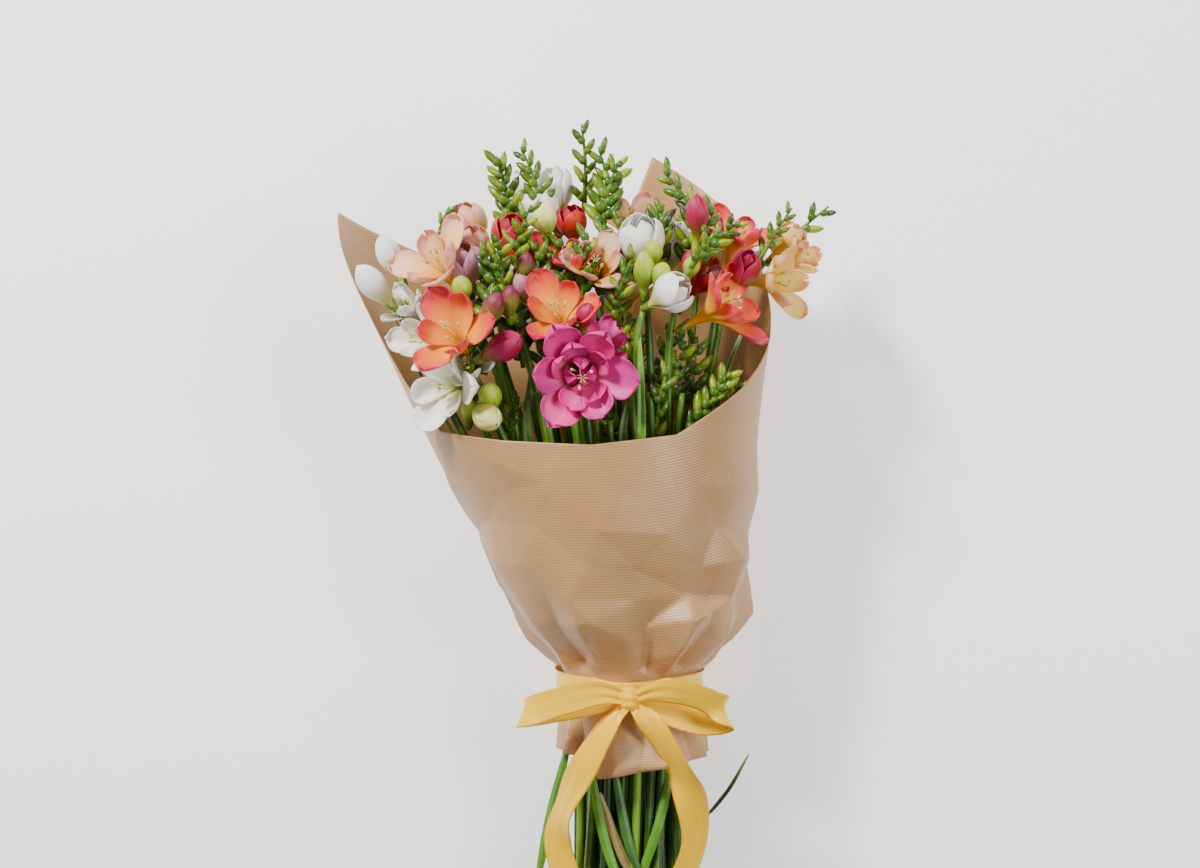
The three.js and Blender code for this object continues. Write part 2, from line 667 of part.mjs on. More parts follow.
// Assembly
const bouquet = new THREE.Group();
function addPiece(name, geometry, material) {
  const mesh = new THREE.Mesh(geometry, materials[material]);
  mesh.name = name;
  bouquet.add(mesh);
  return mesh;
}
addPiece("kraft_sheet_front", sheet(frontSheet), "paper");
addPiece("kraft_sheet_back", sheet(backSheet), "paper");
addPiece("ribbon_band", ribbonBand(), "ribbon");
addPiece("ribbon_bow", ribbonBow(), "ribbon");
Object.entries(leaves).forEach(([name, shape]) => addPiece(name, leaf(shape), "leaf"));

const lines = layStems();
sprays.forEach((spray, k) => {
  const stem = tube(stemCurve(spray, lines[k]), STEM_RADIUS, STEM_SIDES, STEM_STEPS);
  const whole = spray.comb ? geometryOf(solidOf(stem).add(comb(spray.comb))) : stem;
  addPiece(`stem_${String(k + 1).padStart(2, "0")}`, whole, "stem");
  for (const { name, form, colour, facing, radius, length, ...rest } of spray.blooms) {
    const geometry = form === "bud" ? budForm(radius, length) : openForm(form, radius, length);
    const piece = addPiece(name, geometry, colour);
    piece.quaternion.setFromUnitVectors(V(0, 0, 1), facing);
    piece.position.copy(footOf({ facing, length, ...rest }));
  }
});

// The origin is the middle of the bounding box's underside.
const box = new THREE.Box3().setFromObject(bouquet, true);
const middle = box.getCenter(V(0, 0, 0));
bouquet.position.set(-middle.x, -middle.y, -box.min.z);

export default bouquet;
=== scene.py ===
import math

import bpy
import numpy as np
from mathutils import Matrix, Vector
from mathutils.geometry import delaunay_2d_cdt


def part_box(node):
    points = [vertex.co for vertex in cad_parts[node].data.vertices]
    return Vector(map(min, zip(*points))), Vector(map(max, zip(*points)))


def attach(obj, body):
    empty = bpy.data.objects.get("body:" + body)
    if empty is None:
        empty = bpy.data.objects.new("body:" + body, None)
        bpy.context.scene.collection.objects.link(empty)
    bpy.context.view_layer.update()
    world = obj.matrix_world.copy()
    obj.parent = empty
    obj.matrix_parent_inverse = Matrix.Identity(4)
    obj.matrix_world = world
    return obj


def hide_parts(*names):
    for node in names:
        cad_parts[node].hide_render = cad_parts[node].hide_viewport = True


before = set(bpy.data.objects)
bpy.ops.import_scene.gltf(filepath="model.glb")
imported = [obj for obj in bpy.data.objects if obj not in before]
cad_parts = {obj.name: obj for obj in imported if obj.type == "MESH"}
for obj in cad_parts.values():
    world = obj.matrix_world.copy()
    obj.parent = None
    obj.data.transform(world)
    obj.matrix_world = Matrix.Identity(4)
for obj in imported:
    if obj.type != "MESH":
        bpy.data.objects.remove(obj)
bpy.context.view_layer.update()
mm = 0.001
waveTurn = 6.2832  # radians in one wave of a paint's lines
goldenAngle = 2.39996  # radians from one to the next in an even spread

# the tie is the middle of the ribbon's band, and the front sheet's skirt ends 44 mm below it
bandLow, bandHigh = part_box("ribbon_band")
tie = np.array([(bandLow.x + bandHigh.x) / 2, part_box("kraft_sheet_front")[0].y + 44 * mm, 0.0])


def fromTie(points):  # millimetres from the tie to metres in the frame
    return np.asarray(points, float) * mm + tie


camera = bpy.data.objects.new("camera", bpy.data.cameras.new("camera"))
camera.location = fromTie([-15.4, 131.3, 1560])  # straight above the bunch, looking down
camera.data.lens = 87.75
bpy.context.scene.collection.objects.link(camera)
bpy.context.scene.camera = camera


def unit(v):  # each vector divided by its own length
    return v / np.maximum(np.linalg.norm(v, axis=-1, keepdims=True), 1e-9)


def smooth(stations, at):  # cubic through [place, value] stations, with slopes from the neighbours
    x, y = np.array(stations, float).T
    slope = np.gradient(y, x)
    at = np.clip(at, x[0], x[-1])
    k = np.clip(np.searchsorted(x, at, side="right") - 1, 0, len(x) - 2)
    h = x[k + 1] - x[k]
    t = (at - x[k]) / h
    start = (1 + 2 * t) * (1 - t) ** 2 * y[k] + t * (1 - t) ** 2 * h * slope[k]
    end = t * t * (3 - 2 * t) * y[k + 1] + t * t * (t - 1) * h * slope[k + 1]
    return start + end


def linear(stations, at):  # straight lines between [place, value] stations
    x, y = np.array(stations, float).T
    return np.interp(at, x, y)


def fade(low, high, at):  # 0 below low, 1 above high, eased between
    t = np.clip((at - low) / (high - low), 0, 1)
    return t * t * (3 - 2 * t)


def curveThrough(points, count):
    # a cubic through the given points, whose parameter grows by the root of each step's length,
    # cut into count points that are evenly spaced along it
    points = np.asarray(points, float)
    reach = np.concatenate([[0], np.cumsum(np.linalg.norm(np.diff(points, axis=0), axis=1) ** 0.5)])
    fine = np.linspace(0, reach[-1], 12 * count)
    dense = np.stack([smooth(np.stack([reach, p], 1), fine) for p in points.T], 1)
    length = np.concatenate([[0], np.cumsum(np.linalg.norm(np.diff(dense, axis=0), axis=1))])
    even = np.linspace(0, length[-1], count)
    return np.stack([np.interp(even, length, p) for p in dense.T], 1)


def sideways(path, start=(0, 0, 1)):
    # the path's direction and one across it at each point: the last one, less its part along the path
    tangent = unit(np.gradient(path, axis=0))
    across = np.empty_like(path)
    side = unit(np.cross(tangent[0], start) + 1e-6)
    for k, t in enumerate(tangent):
        side = unit(side - t * (side @ t))
        across[k] = side
    return tangent, across


def squared(path, side):
    # the path's direction, the given sides less their part along it, and the cross product of the two
    tangent = unit(np.gradient(path, axis=0))
    side = unit(side - tangent * (side * tangent).sum(1, keepdims=True))
    return tangent, side, np.cross(side, tangent)


def patch(points, uv=None, wrap=False, shade=0.5, part=0):
    # a surface on a grid of rows and columns; wrap joins the last column to the first and caps the ends
    points = np.asarray(points, float)
    rows, cols = points.shape[:2]
    if uv is None:
        across = np.linspace(0, 1, cols)[None, :].repeat(rows, 0)
        along = np.linspace(0, 1, rows)[:, None].repeat(cols, 1)
        uv = np.stack([across, along], -1)
    index = np.arange(rows * cols).reshape(rows, cols)
    right = np.roll(index, -1, 1) if wrap else index[:, 1:]
    left = index if wrap else index[:, :-1]
    quads = np.stack([left[:-1], right[:-1], right[1:], left[1:]], -1).reshape(-1, 4)
    caps = [index[0][::-1].tolist(), index[-1].tolist()] if wrap else []
    return {"points": points.reshape(-1, 3), "uv": uv.reshape(-1, 2), "quads": quads, "caps": caps,
            "shade": shade, "part": part}


def piece(name, patches, materials, replaced=(), thickness=0.0):
    # joins patches into one mesh, where part picks a patch's material and shade is its own number for
    # the paint; thickness gives them a wall, and replaced names the CAD nodes the piece stands for
    patches = list(patches)
    points, faces, parts, start = [], [], [], 0
    for p in patches:
        points.append(p["points"])
        these = (p["quads"] + start).tolist() + [[v + start for v in cap] for cap in p["caps"]]
        faces += these
        parts += [p["part"]] * len(these)
        start += len(p["points"])
    mesh = bpy.data.meshes.new(name)
    mesh.from_pydata(np.concatenate(points).tolist(), [], faces)
    mesh.polygons.foreach_set("material_index", parts)
    mesh.polygons.foreach_set("use_smooth", np.ones(len(faces), bool))
    corner = np.empty(len(mesh.loops), int)
    mesh.loops.foreach_get("vertex_index", corner)
    uv = np.concatenate([p["uv"] for p in patches])[corner]
    mesh.uv_layers.new(name="flat").data.foreach_set("uv", uv.astype(np.float32).ravel())
    shade = np.concatenate([np.full(len(p["points"]), p["shade"]) for p in patches])
    mesh.attributes.new("shade", "FLOAT", "POINT").data.foreach_set("value", shade.astype(np.float32))
    made = bpy.data.objects.new(name, mesh)
    bpy.context.scene.collection.objects.link(made)
    for material in materials:
        mesh.materials.append(material)
    if thickness:
        wall = made.modifiers.new("wall", "SOLIDIFY")
        wall.thickness, wall.offset = thickness, 0
    if replaced:
        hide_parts(*replaced)
    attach(made, "root")
    return made


def tubePatch(path, radius, sides=12, shade=0.5, part=0, ribs=0.0):
    # a circle of the given radius carried along a path, swollen by the share ribs in five waves round it
    path = np.asarray(path, float)
    tangent, across = sideways(path)
    other = np.cross(tangent, across)
    turn = np.linspace(0, 2 * math.pi, sides, endpoint=False)
    reach = np.broadcast_to(np.asarray(radius, float), len(path))[:, None] * (1 + ribs * np.cos(5 * turn))
    ring = across[:, None] * np.cos(turn)[:, None] + other[:, None] * np.sin(turn)[:, None]
    return patch(path[:, None] + reach[..., None] * ring, wrap=True, shade=shade, part=part)


def placed(points, foot, axis, roll):  # from a bloom's own axes, with +Z out of its mouth, to the frame
    x = unit(roll - axis * (roll @ axis))
    return foot + points @ np.stack([x, np.cross(axis, x), axis])


def welded(name):
    # a node's mesh is loose triangles: its points are joined where they are within 0.02 mm
    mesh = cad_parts[name].data
    flatPoints = np.empty(3 * len(mesh.vertices), np.float32)
    corners = np.empty(len(mesh.loops), int)
    mesh.vertices.foreach_get("co", flatPoints)
    mesh.loops.foreach_get("vertex_index", corners)
    points = flatPoints.reshape(-1, 3).astype(float)
    cells = np.round(points / 2e-5).astype(int)
    _, first, same = np.unique(cells, axis=0, return_index=True, return_inverse=True)
    return points[first], same.ravel()[corners].reshape(-1, 3)


def bloomPlace(name):
    # a bloom is alike all round its axis, so its spread about that axis is the odd one out of three;
    # it widens from its foot to its mouth, which tells the two ends apart
    points, _ = welded(name)
    middle = points.mean(0)
    spread, ways = np.linalg.eigh(np.cov((points - middle).T))
    axis = ways[:, 2] if spread[1] - spread[0] < spread[2] - spread[1] else ways[:, 0]
    along = (points - middle) @ axis
    out = points - middle - along[:, None] * axis
    reach = np.linalg.norm(out, axis=1)
    if np.cov(along, reach)[0, 1] < 0:
        axis, along = -axis, -along
    return {"foot": middle + axis * along.min(), "axis": axis, "roll": unit(out[reach.argmax()]),
            "length": np.ptp(along), "radius": reach.max()}


def stemPlace(name):
    # walks up the stem ring by ring from its cut end; what is left over is its comb of buds
    points, triangles = welded(name)
    ring = points[:, 1] < points[:, 1].min() + 4 * mm  # the cut end's own points
    seen = ring.copy()
    line = [points[ring].mean(0)]
    while True:
        touched = np.zeros(len(points), bool)
        touched[triangles[ring[triangles].any(1)].ravel()] = True
        ring = touched & ~seen
        if not 5 <= ring.sum() <= 7:  # a ring has six points, give or take one
            break
        line.append(points[ring].mean(0))
        seen |= ring
    return np.array(line), points[~seen]


print("frame read")


def nodeGroup(name, inputs, outputs):
    # an empty shader group with the given sockets, and the ends that its nodes are wired between
    group = bpy.data.node_groups.new(name, "ShaderNodeTree")
    for label, kind, value in inputs:
        socket = group.interface.new_socket(label, in_out="INPUT", socket_type="NodeSocket" + kind)
        socket.default_value = value
    for label, kind in outputs:
        group.interface.new_socket(label, in_out="OUTPUT", socket_type="NodeSocket" + kind)
    return group, group.nodes.new("NodeGroupInput").outputs, group.nodes.new("NodeGroupOutput").inputs


def wire(tree, source, target):  # links one socket to another, or sets a plain value
    if hasattr(source, "is_output"):
        tree.links.new(source, target)
    else:
        target.default_value = source


def sums(tree, operation, a, b=0.0, c=0.0):  # one sum on up to three values
    node = tree.nodes.new("ShaderNodeMath")
    node.operation = operation
    for value, socket in zip((a, b, c), node.inputs):
        wire(tree, value, socket)
    return node.outputs[0]


def ramp(tree, value, low, high, toLow=0.0, toHigh=1.0):  # toLow below low, toHigh above high, eased between
    node = tree.nodes.new("ShaderNodeMapRange")
    node.interpolation_type = "SMOOTHSTEP"
    for given, socket in zip((value, low, high, toLow, toHigh), node.inputs):
        wire(tree, given, socket)
    return node.outputs[0]


def blended(tree, share, a, b):  # colour a, with a share of colour b over it
    node = tree.nodes.new("ShaderNodeMix")
    node.data_type = "RGBA"
    for given, socket in zip((share, a, b), (node.inputs[0], node.inputs[6], node.inputs[7])):
        wire(tree, given, socket)
    return node.outputs[2]


def noise(tree, vector, scale, detail=3.0, rough=0.55):  # cloudy numbers from 0 to 1 over the given places
    node = tree.nodes.new("ShaderNodeTexNoise")
    wire(tree, vector, node.inputs["Vector"])
    node.inputs["Scale"].default_value = scale
    node.inputs["Detail"].default_value = detail
    node.inputs["Roughness"].default_value = rough
    return node.outputs["Fac"]


def stretched(tree, vector, scale):  # a vector times a number on each axis
    node = tree.nodes.new("ShaderNodeVectorMath")
    node.operation = "MULTIPLY"
    wire(tree, vector, node.inputs[0])
    node.inputs[1].default_value = scale
    return node.outputs[0]


def flatAndParts(tree):  # the piece's own UV map, and its first and second number
    flat = tree.nodes.new("ShaderNodeUVMap")
    flat.uv_map = "flat"
    parts = tree.nodes.new("ShaderNodeSeparateXYZ")
    tree.links.new(flat.outputs[0], parts.inputs[0])
    return flat.outputs[0], parts.outputs[0], parts.outputs[1]


def bumped(tree, height, strength, distance):  # the normal of a surface raised by height
    node = tree.nodes.new("ShaderNodeBump")
    wire(tree, height, node.inputs["Height"])
    wire(tree, strength, node.inputs["Strength"])
    node.inputs["Distance"].default_value = distance
    return node.outputs[0]


def shadeOf(tree):  # the number from 0 to 1 that each petal, bud or stem has for itself
    node = tree.nodes.new("ShaderNodeAttribute")
    node.attribute_name = "shade"
    return node.outputs["Fac"]


def objectPlace(tree):  # metres in the frame
    return tree.nodes.new("ShaderNodeTexCoord").outputs["Object"]


def petalPaintGroup():
    # colour runs from the throat along the petal to its blade and rim, with fine streaks for veins
    colour = ("Color", (1, 1, 1, 1))
    group, given, made = nodeGroup(
        "petalPaint",
        [("Throat", *colour), ("Blade", *colour), ("Rim", *colour), ("ThroatReach", "Float", 0.4),
         ("RimShare", "Float", 0.5), ("Veins", "Float", 0.2), ("Variety", "Float", 0.15)],
        [("Color", "Color"), ("Normal", "Vector")],
    )
    flat, across, along = flatAndParts(group)
    mottle = noise(group, objectPlace(group), 160, 3)
    shade = shadeOf(group)
    streak = noise(group, stretched(group, flat, (30, 1.6, 1)), 1.0, 4, 0.6)
    away = sums(group, "ABSOLUTE", sums(group, "MULTIPLY_ADD", across, 2.0, -1.0))
    reach = sums(group, "ADD", given["ThroatReach"], sums(group, "MULTIPLY_ADD", streak, 0.3, -0.15))
    inThroat = ramp(group, sums(group, "SUBTRACT", along, reach), -0.16, 0.2, 1.0, 0.0)
    nearRim = sums(group, "MAXIMUM", ramp(group, away, 0.45, 1.05), ramp(group, along, 0.72, 1.02))
    nearRim = sums(group, "MULTIPLY", nearRim, given["RimShare"])
    painted = blended(group, nearRim, given["Blade"], given["Rim"])
    painted = blended(group, inThroat, painted, given["Throat"])
    vein = sums(group, "MULTIPLY", ramp(group, streak, 0.5, 0.72), given["Veins"])
    painted = blended(group, vein, painted, given["Rim"])
    lights = sums(group, "ADD", sums(group, "MULTIPLY_ADD", shade, given["Variety"], 1.0),
                  sums(group, "MULTIPLY_ADD", mottle, 0.22, -0.19))
    tone = group.nodes.new("ShaderNodeHueSaturation")
    wire(group, lights, tone.inputs["Value"])
    wire(group, sums(group, "MULTIPLY_ADD", shade, 0.02, 0.49), tone.inputs["Hue"])
    wire(group, painted, tone.inputs["Color"])
    wire(group, tone.outputs[0], made["Color"])
    height = sums(group, "MULTIPLY_ADD", mottle, 0.3, streak)
    wire(group, bumped(group, height, 0.35, 0.0006), made["Normal"])
    return group


def plantPaintGroup():
    # green skin, paler along its ribs, with darker or flushed ends where TipShare says so
    group, given, made = nodeGroup(
        "plantPaint",
        [("Green", "Color", (1, 1, 1, 1)), ("Pale", "Color", (1, 1, 1, 1)), ("Tip", "Color", (1, 1, 1, 1)),
         ("TipShare", "Float", 0.5), ("Lines", "Float", 8.0)],
        [("Color", "Color"), ("Normal", "Vector")],
    )
    _, across, along = flatAndParts(group)
    mottle = noise(group, objectPlace(group), 90, 4)
    shade = shadeOf(group)
    waves = sums(group, "MULTIPLY", given["Lines"], waveTurn)
    lines = sums(group, "SINE", sums(group, "MULTIPLY", across, waves))
    lines = sums(group, "MULTIPLY_ADD", lines, 0.18, 0.18)
    cloud = sums(group, "MULTIPLY_ADD", mottle, 1.2, -0.75)
    paleShare = sums(group, "ADD", sums(group, "ADD", lines, shade), cloud)
    painted = blended(group, ramp(group, paleShare, 0.0, 1.3), given["Green"], given["Pale"])
    atTip = ramp(group, sums(group, "MULTIPLY_ADD", mottle, 0.3, along), 0.82, 1.15)
    painted = blended(group, sums(group, "MULTIPLY", atTip, given["TipShare"]), painted, given["Tip"])
    wire(group, painted, made["Color"])
    wire(group, bumped(group, sums(group, "ADD", lines, mottle), 0.3, 0.0004), made["Normal"])
    return group


petalPaint, plantPaint = petalPaintGroup(), plantPaintGroup()


def shaderWith(name, roughness, **sockets):
    # a material with its Principled shader set; an underscore stands for the space in a socket's name
    material = bpy.data.materials.new(name)
    material.use_nodes = True
    shader = material.node_tree.nodes["Principled BSDF"]
    shader.inputs["Roughness"].default_value = roughness
    for label, value in sockets.items():
        shader.inputs[label.replace("_", " ")].default_value = value
    return material, material.node_tree, shader


def colourOf(text):  # hex code to the shader's linear colour
    values = [int(text[k:k + 2], 16) / 255 for k in (0, 2, 4)]
    return (*[v / 12.92 if v < 0.04 else ((v + 0.055) / 1.055) ** 2.4 for v in values], 1)


def paintedMaterial(name, paint, roughness, glow, values):
    # a material coloured and bumped by a shared paint; glow is the share and depth of light in its skin
    material, tree, shader = shaderWith(name, roughness, Subsurface_Weight=glow[0], Subsurface_Scale=glow[1])
    node = tree.nodes.new("ShaderNodeGroup")
    node.node_tree = paint
    for label, value in values.items():
        node.inputs[label].default_value = colourOf(value) if isinstance(value, str) else value
    tree.links.new(node.outputs["Color"], shader.inputs["Base Color"])
    tree.links.new(node.outputs["Normal"], shader.inputs["Normal"])
    return material, shader


def petalMaterial(name, throat, blade, rim, reach=0.42, rimShare=0.6, veins=0.3, variety=0.2):
    # reach is how far up the petal the throat's colour goes, and the others are shares from 0 to 1
    values = {"Throat": throat, "Blade": blade, "Rim": rim, "ThroatReach": reach, "RimShare": rimShare,
              "Veins": veins, "Variety": variety}
    material, shader = paintedMaterial(name, petalPaint, 0.48, (0.12, 0.003), values)
    shader.inputs["Subsurface Radius"].default_value = (1.0, 0.6, 0.4)
    return material


def plantMaterial(name, green, pale, tip, tipShare=0.0, lines=8.0, roughness=0.42):
    # lines is the number of ribs round a stem or across a leaf
    values = {"Green": green, "Pale": pale, "Tip": tip, "TipShare": tipShare, "Lines": lines}
    return paintedMaterial(name, plantPaint, roughness, (0.08, 0.002), values)[0]


petals = {
    "coral": petalMaterial("coralPetal", "f8a812", "e23e28", "cc1048", 0.5, 0.9, 0.6),
    "pink": petalMaterial("pinkPetal", "b98a30", "e22c90", "c00a70", 0.36, 0.6, 0.5),
    "magenta": petalMaterial("magentaPetal", "8d6a1c", "a8003a", "b40f5c", 0.3, 0.6, 0.35),
    "crimson": petalMaterial("crimsonPetal", "d2552a", "b8061c", "b3123f", 0.35, 0.6, 0.35),
    "peach": petalMaterial("peachPetal", "efae30", "efc09a", "dd7480", 0.5, 0.8, 0.6),
    "dusty": petalMaterial("dustyPetal", "e8b48c", "cf8c98", "b5708f", 0.35, 0.7, 0.4),
    "yellow": petalMaterial("yellowPetal", "f2c531", "f3c965", "ea7f90", 0.5, 0.6, 0.4),
    "white": petalMaterial("whitePetal", "d3d463", "faf7ec", "fffdf8", 0.34, 0.4, 0.15, 0.06),
    "cream": petalMaterial("creamPetal", "a9b93c", "e2d96a", "f6f1cf", 0.45, 0.5, 0.2, 0.1),
    "lime": petalMaterial("limeBud", "7c9c1e", "a6bd1c", "d9e06a", 0.45, 0.4, 0.2, 0.15),
    "plum": petalMaterial("plumBud", "6f7f22", "7a1030", "5e1038", 0.5, 0.6, 0.4),
}
greens = {
    "stem": plantMaterial("stemSkin", "153c08", "6f9a1c", "6fa02c", 0.3, 5),
    "bud": plantMaterial("budSkin", "416604", "a9b90c", "2a4408", 0.5, 4, 0.3),
    "darkBud": plantMaterial("darkBudSkin", "284a04", "6f880c", "4a1c34", 0.9, 4, 0.3),
    "leaf": plantMaterial("leafSkin", "24501a", "5f9a2c", "8aa348", 0.4, 7),
    "brightLeaf": plantMaterial("brightLeafSkin", "3c7a0a", "8fc41e", "b5c84a", 0.3, 6),
    "dryLeaf": plantMaterial("dryLeafSkin", "8a7a3c", "c4a06a", "9a6a4a", 0.6, 9),
    "calyx": plantMaterial("calyxSkin", "35620a", "8ba416", "5a5a20", 0.4, 3),
}


def kraftMaterial():
    # brown kraft paper: fine ribs, straight on the flat sheet, with painted light on their crests and painted
    # shade in their troughs, flecks of fibre, and a soft mill gloss
    material, tree, shader = shaderWith("kraftPaper", 0.42)
    flat, _, along = flatAndParts(tree)
    place = objectPlace(tree)
    fibre = noise(tree, place, 900, 4, 0.7)
    cloud = noise(tree, place, 22, 3)
    wander = sums(tree, "MULTIPLY", noise(tree, flat, 60, 2), 0.0006)
    ribSpacing = 1.45 * mm
    ribs = sums(tree, "SINE", sums(tree, "MULTIPLY", sums(tree, "ADD", along, wander), waveTurn / ribSpacing))
    # painted light and shade of the ribs: the crests are painted lighter and the troughs darker, in step with
    # the bump below
    colour = blended(tree, ramp(tree, ribs, -1.0, 1.0), colourOf("ad8050"), colourOf("b98d5c"))
    colour = blended(tree, ramp(tree, fibre, 0.3, 0.75, 0.0, 0.35), colour, colourOf("94693c"))
    colour = blended(tree, ramp(tree, cloud, 0.3, 0.7, 0.0, 0.22), colour, colourOf("cca676"))
    tree.links.new(colour, shader.inputs["Base Color"])
    height = sums(tree, "ADD", sums(tree, "MULTIPLY", ribs, 0.5), sums(tree, "MULTIPLY", fibre, 0.35))
    tree.links.new(bumped(tree, height, 0.22, 0.0003), shader.inputs["Normal"])
    tree.links.new(ramp(tree, cloud, 0.3, 0.7, 0.34, 0.48), shader.inputs["Roughness"])
    return material


def satinMaterial():
    # satin ribbon: fine warp lines along its length and a woven edge, over a bright soft gloss
    material, tree, shader = shaderWith("satinRibbon", 0.3, Specular_IOR_Level=0.3)
    flat, across, along = flatAndParts(tree)
    warp = noise(tree, stretched(tree, flat, (90, 6, 1)), 1.0, 2)
    weft = sums(tree, "SINE", sums(tree, "MULTIPLY", along, 900.0))
    away = sums(tree, "ABSOLUTE", sums(tree, "MULTIPLY_ADD", across, 2.0, -1.0))
    edge = ramp(tree, away, 0.86, 0.93)
    colour = blended(tree, ramp(tree, warp, 0.3, 0.7), colourOf("f8b800"), colourOf("ffce00"))
    colour = blended(tree, sums(tree, "MULTIPLY", edge, 0.45), colour, colourOf("cc8800"))
    tree.links.new(colour, shader.inputs["Base Color"])
    height = sums(tree, "ADD", warp, sums(tree, "MULTIPLY_ADD", weft, 0.12, edge))
    tree.links.new(bumped(tree, height, 0.22, 0.0003), shader.inputs["Normal"])
    tree.links.new(ramp(tree, warp, 0.3, 0.8, 0.26, 0.38), shader.inputs["Roughness"])
    return material


kraft, satin = kraftMaterial(), satinMaterial()
print("materials made")

wrap = {  # the section's half-width, half-depth and centre by length from the tie, in mm
    "width": [[-44, 38], [-20, 34.5], [-8, 33], [12, 34.5], [28, 46], [50, 57], [90, 71], [127, 82],
              [200, 104], [285, 132]],
    "depth": [[-44, 36], [-8, 32], [12, 33.5], [30, 44], [60, 52], [127, 61], [200, 65], [285, 69]],
    "centreX": [[-44, 0], [0, 0], [50, -2], [90, -11], [127, -20], [200, -33], [285, -49]],
    "centreZ": [[-44, 41], [0, 42], [50, 47], [127, 54], [285, 62]],
    "ease": 7,  # softens the bend where the paper meets the floor
    "apex": -95,  # the length where the cone of paper would close
    "coneSine": 0.33,  # sine of that cone's half-angle
    "thickness": 0.35,
    "frontEnd": [[-44, 246], [52, 248], [279, 297]],  # the turn where the front sheet ends, by length
    "lift": 3.0,  # the back sheet rises off the floor by this much to pass over that end
    "creaseRows": [[-50, 5.6], [-36, 4.6], [-22, 2.6], [-8, 0.3], [6, 0.3], [15, 4.4], [24, 8.0], [36, 9.6],
                   [50, 8.4], [66, 7.2], [84, 5.4], [104, 2.6], [128, 0.5], [165, 0.0]],
    "folds": [[-44, 2.6], [-20, 1.6], [-8, 0.25], [10, 0.3], [15, 3.8], [24, 4.8], [40, 2.6], [66, 0]],
    "even": 60,  # degrees and mm alike are divided by this before the creases are joined up
}


def creaseField(seed, columns=19):
    # points scattered in rows, each row with its own height, and flat facets between them;
    # a place is weighed between the three points of its facet
    dice = np.random.default_rng(seed)
    even = wrap["even"]
    seeds, heights = [], []
    for row, (y, tall) in enumerate(wrap["creaseRows"]):
        turns = np.linspace(-150, 330, columns) + (row % 2) * 13 + dice.uniform(-7, 7, columns)
        seeds += [(t / even, (y + dice.uniform(-4, 4)) / even) for t in turns]
        heights += list(tall * dice.uniform(-0.55, 0.95, columns))
    spots, _, triangles = delaunay_2d_cdt([Vector(s) for s in seeds], [], [], 0, 1e-6)[:3]
    spots, heights = np.array([tuple(s) for s in spots]), np.array(heights)

    def height(turn, y):  # mm, from the facet that each place lies in
        at = np.stack([turn / even, y / even], -1)
        out = np.zeros(turn.shape)
        for a, b, c in triangles:
            base = np.linalg.inv(np.stack([spots[b] - spots[a], spots[c] - spots[a]], 1))
            share = (at - spots[a]) @ base.T
            inside = (share >= -1e-6).all(-1) & (share.sum(-1) <= 1 + 1e-6)
            value = heights[a] + share[..., 0] * (heights[b] - heights[a])
            value = value + share[..., 1] * (heights[c] - heights[a])
            out = np.where(inside, value, out)
        return out

    return height


creases = creaseField(11)


def paperHeight(turn, y):
    # how far the paper stands off its smooth section: its creases, and a zigzag of folds at the tie
    wave = turn / 17.5 + 0.55 * np.sin(turn / 31.0) + 0.3 * np.sin(turn / 11.0 + y / 30)
    fold = np.abs((wave % 2) - 1) * 2 - 1
    return creases(turn, y) + fold * linear(wrap["folds"], y)


def sectionPoint(y, turn, offset, lowest=0.0):
    # ellipse about the bunch's middle, laid flat where it would go below the surface
    angle = np.radians(turn)
    x = smooth(wrap["centreX"], y) + (smooth(wrap["width"], y) + offset) * np.cos(angle)
    z = smooth(wrap["centreZ"], y) + (smooth(wrap["depth"], y) + offset) * np.sin(angle) - lowest
    ease = wrap["ease"]
    z = np.where(z >= ease, z, np.where(z <= -ease, 0, (z + ease) ** 2 / (4 * ease)))
    return np.stack(np.broadcast_arrays(x, y, z + lowest), -1)


# left and right edges as [share along, turn], bottom and rim as [turn, length], in degrees and mm;
# turned is the turn that lies straight up on the flat sheet
frontSheet = {
    "left": [[0, 114], [0.11, 138], [0.22, 156], [0.33, 168], [0.45, 175], [0.7, 176], [1, 152]],
    "right": [[0, -114], [4 / 9, -112], [1, -63]],
    "bottom": [[-114, -22], [-20, -31], [60, -37], [114, -44], [180, -38]],
    "rim": [[-112, 279], [-63, 279], [-50, 262], [-36, 243], [-15, 206], [0, 183], [10, 174], [30, 154],
            [60, 131], [90, 126], [120, 128], [152, 133], [180, 138]],
    "offset": 3.4, "columns": 250, "rows": 150, "turned": 100,
}
backSheet = {
    "left": [[0, 128], [0.4, 124], [1, 128]],
    "right": [[0, 262], [0.4, 268], [1, 292]],
    "bottom": [[120, -34], [200, -30], [300, -24]],
    "rim": [[120, 124], [152, 132], [165, 158], [180, 201], [192, 228], [203, 247], [225, 231], [250, 212],
            [270, 195], [300, 175]],
    "offset": 0.5, "columns": 170, "rows": 150, "turned": 205,
}
# more of a sheet's rows are spent near the tie: these shares of them end at these lengths
sheetRows = [1 / 9, 2 / 9, 3 / 9, 4 / 9]
sheetLengths = [-9, 12, 30, 52]


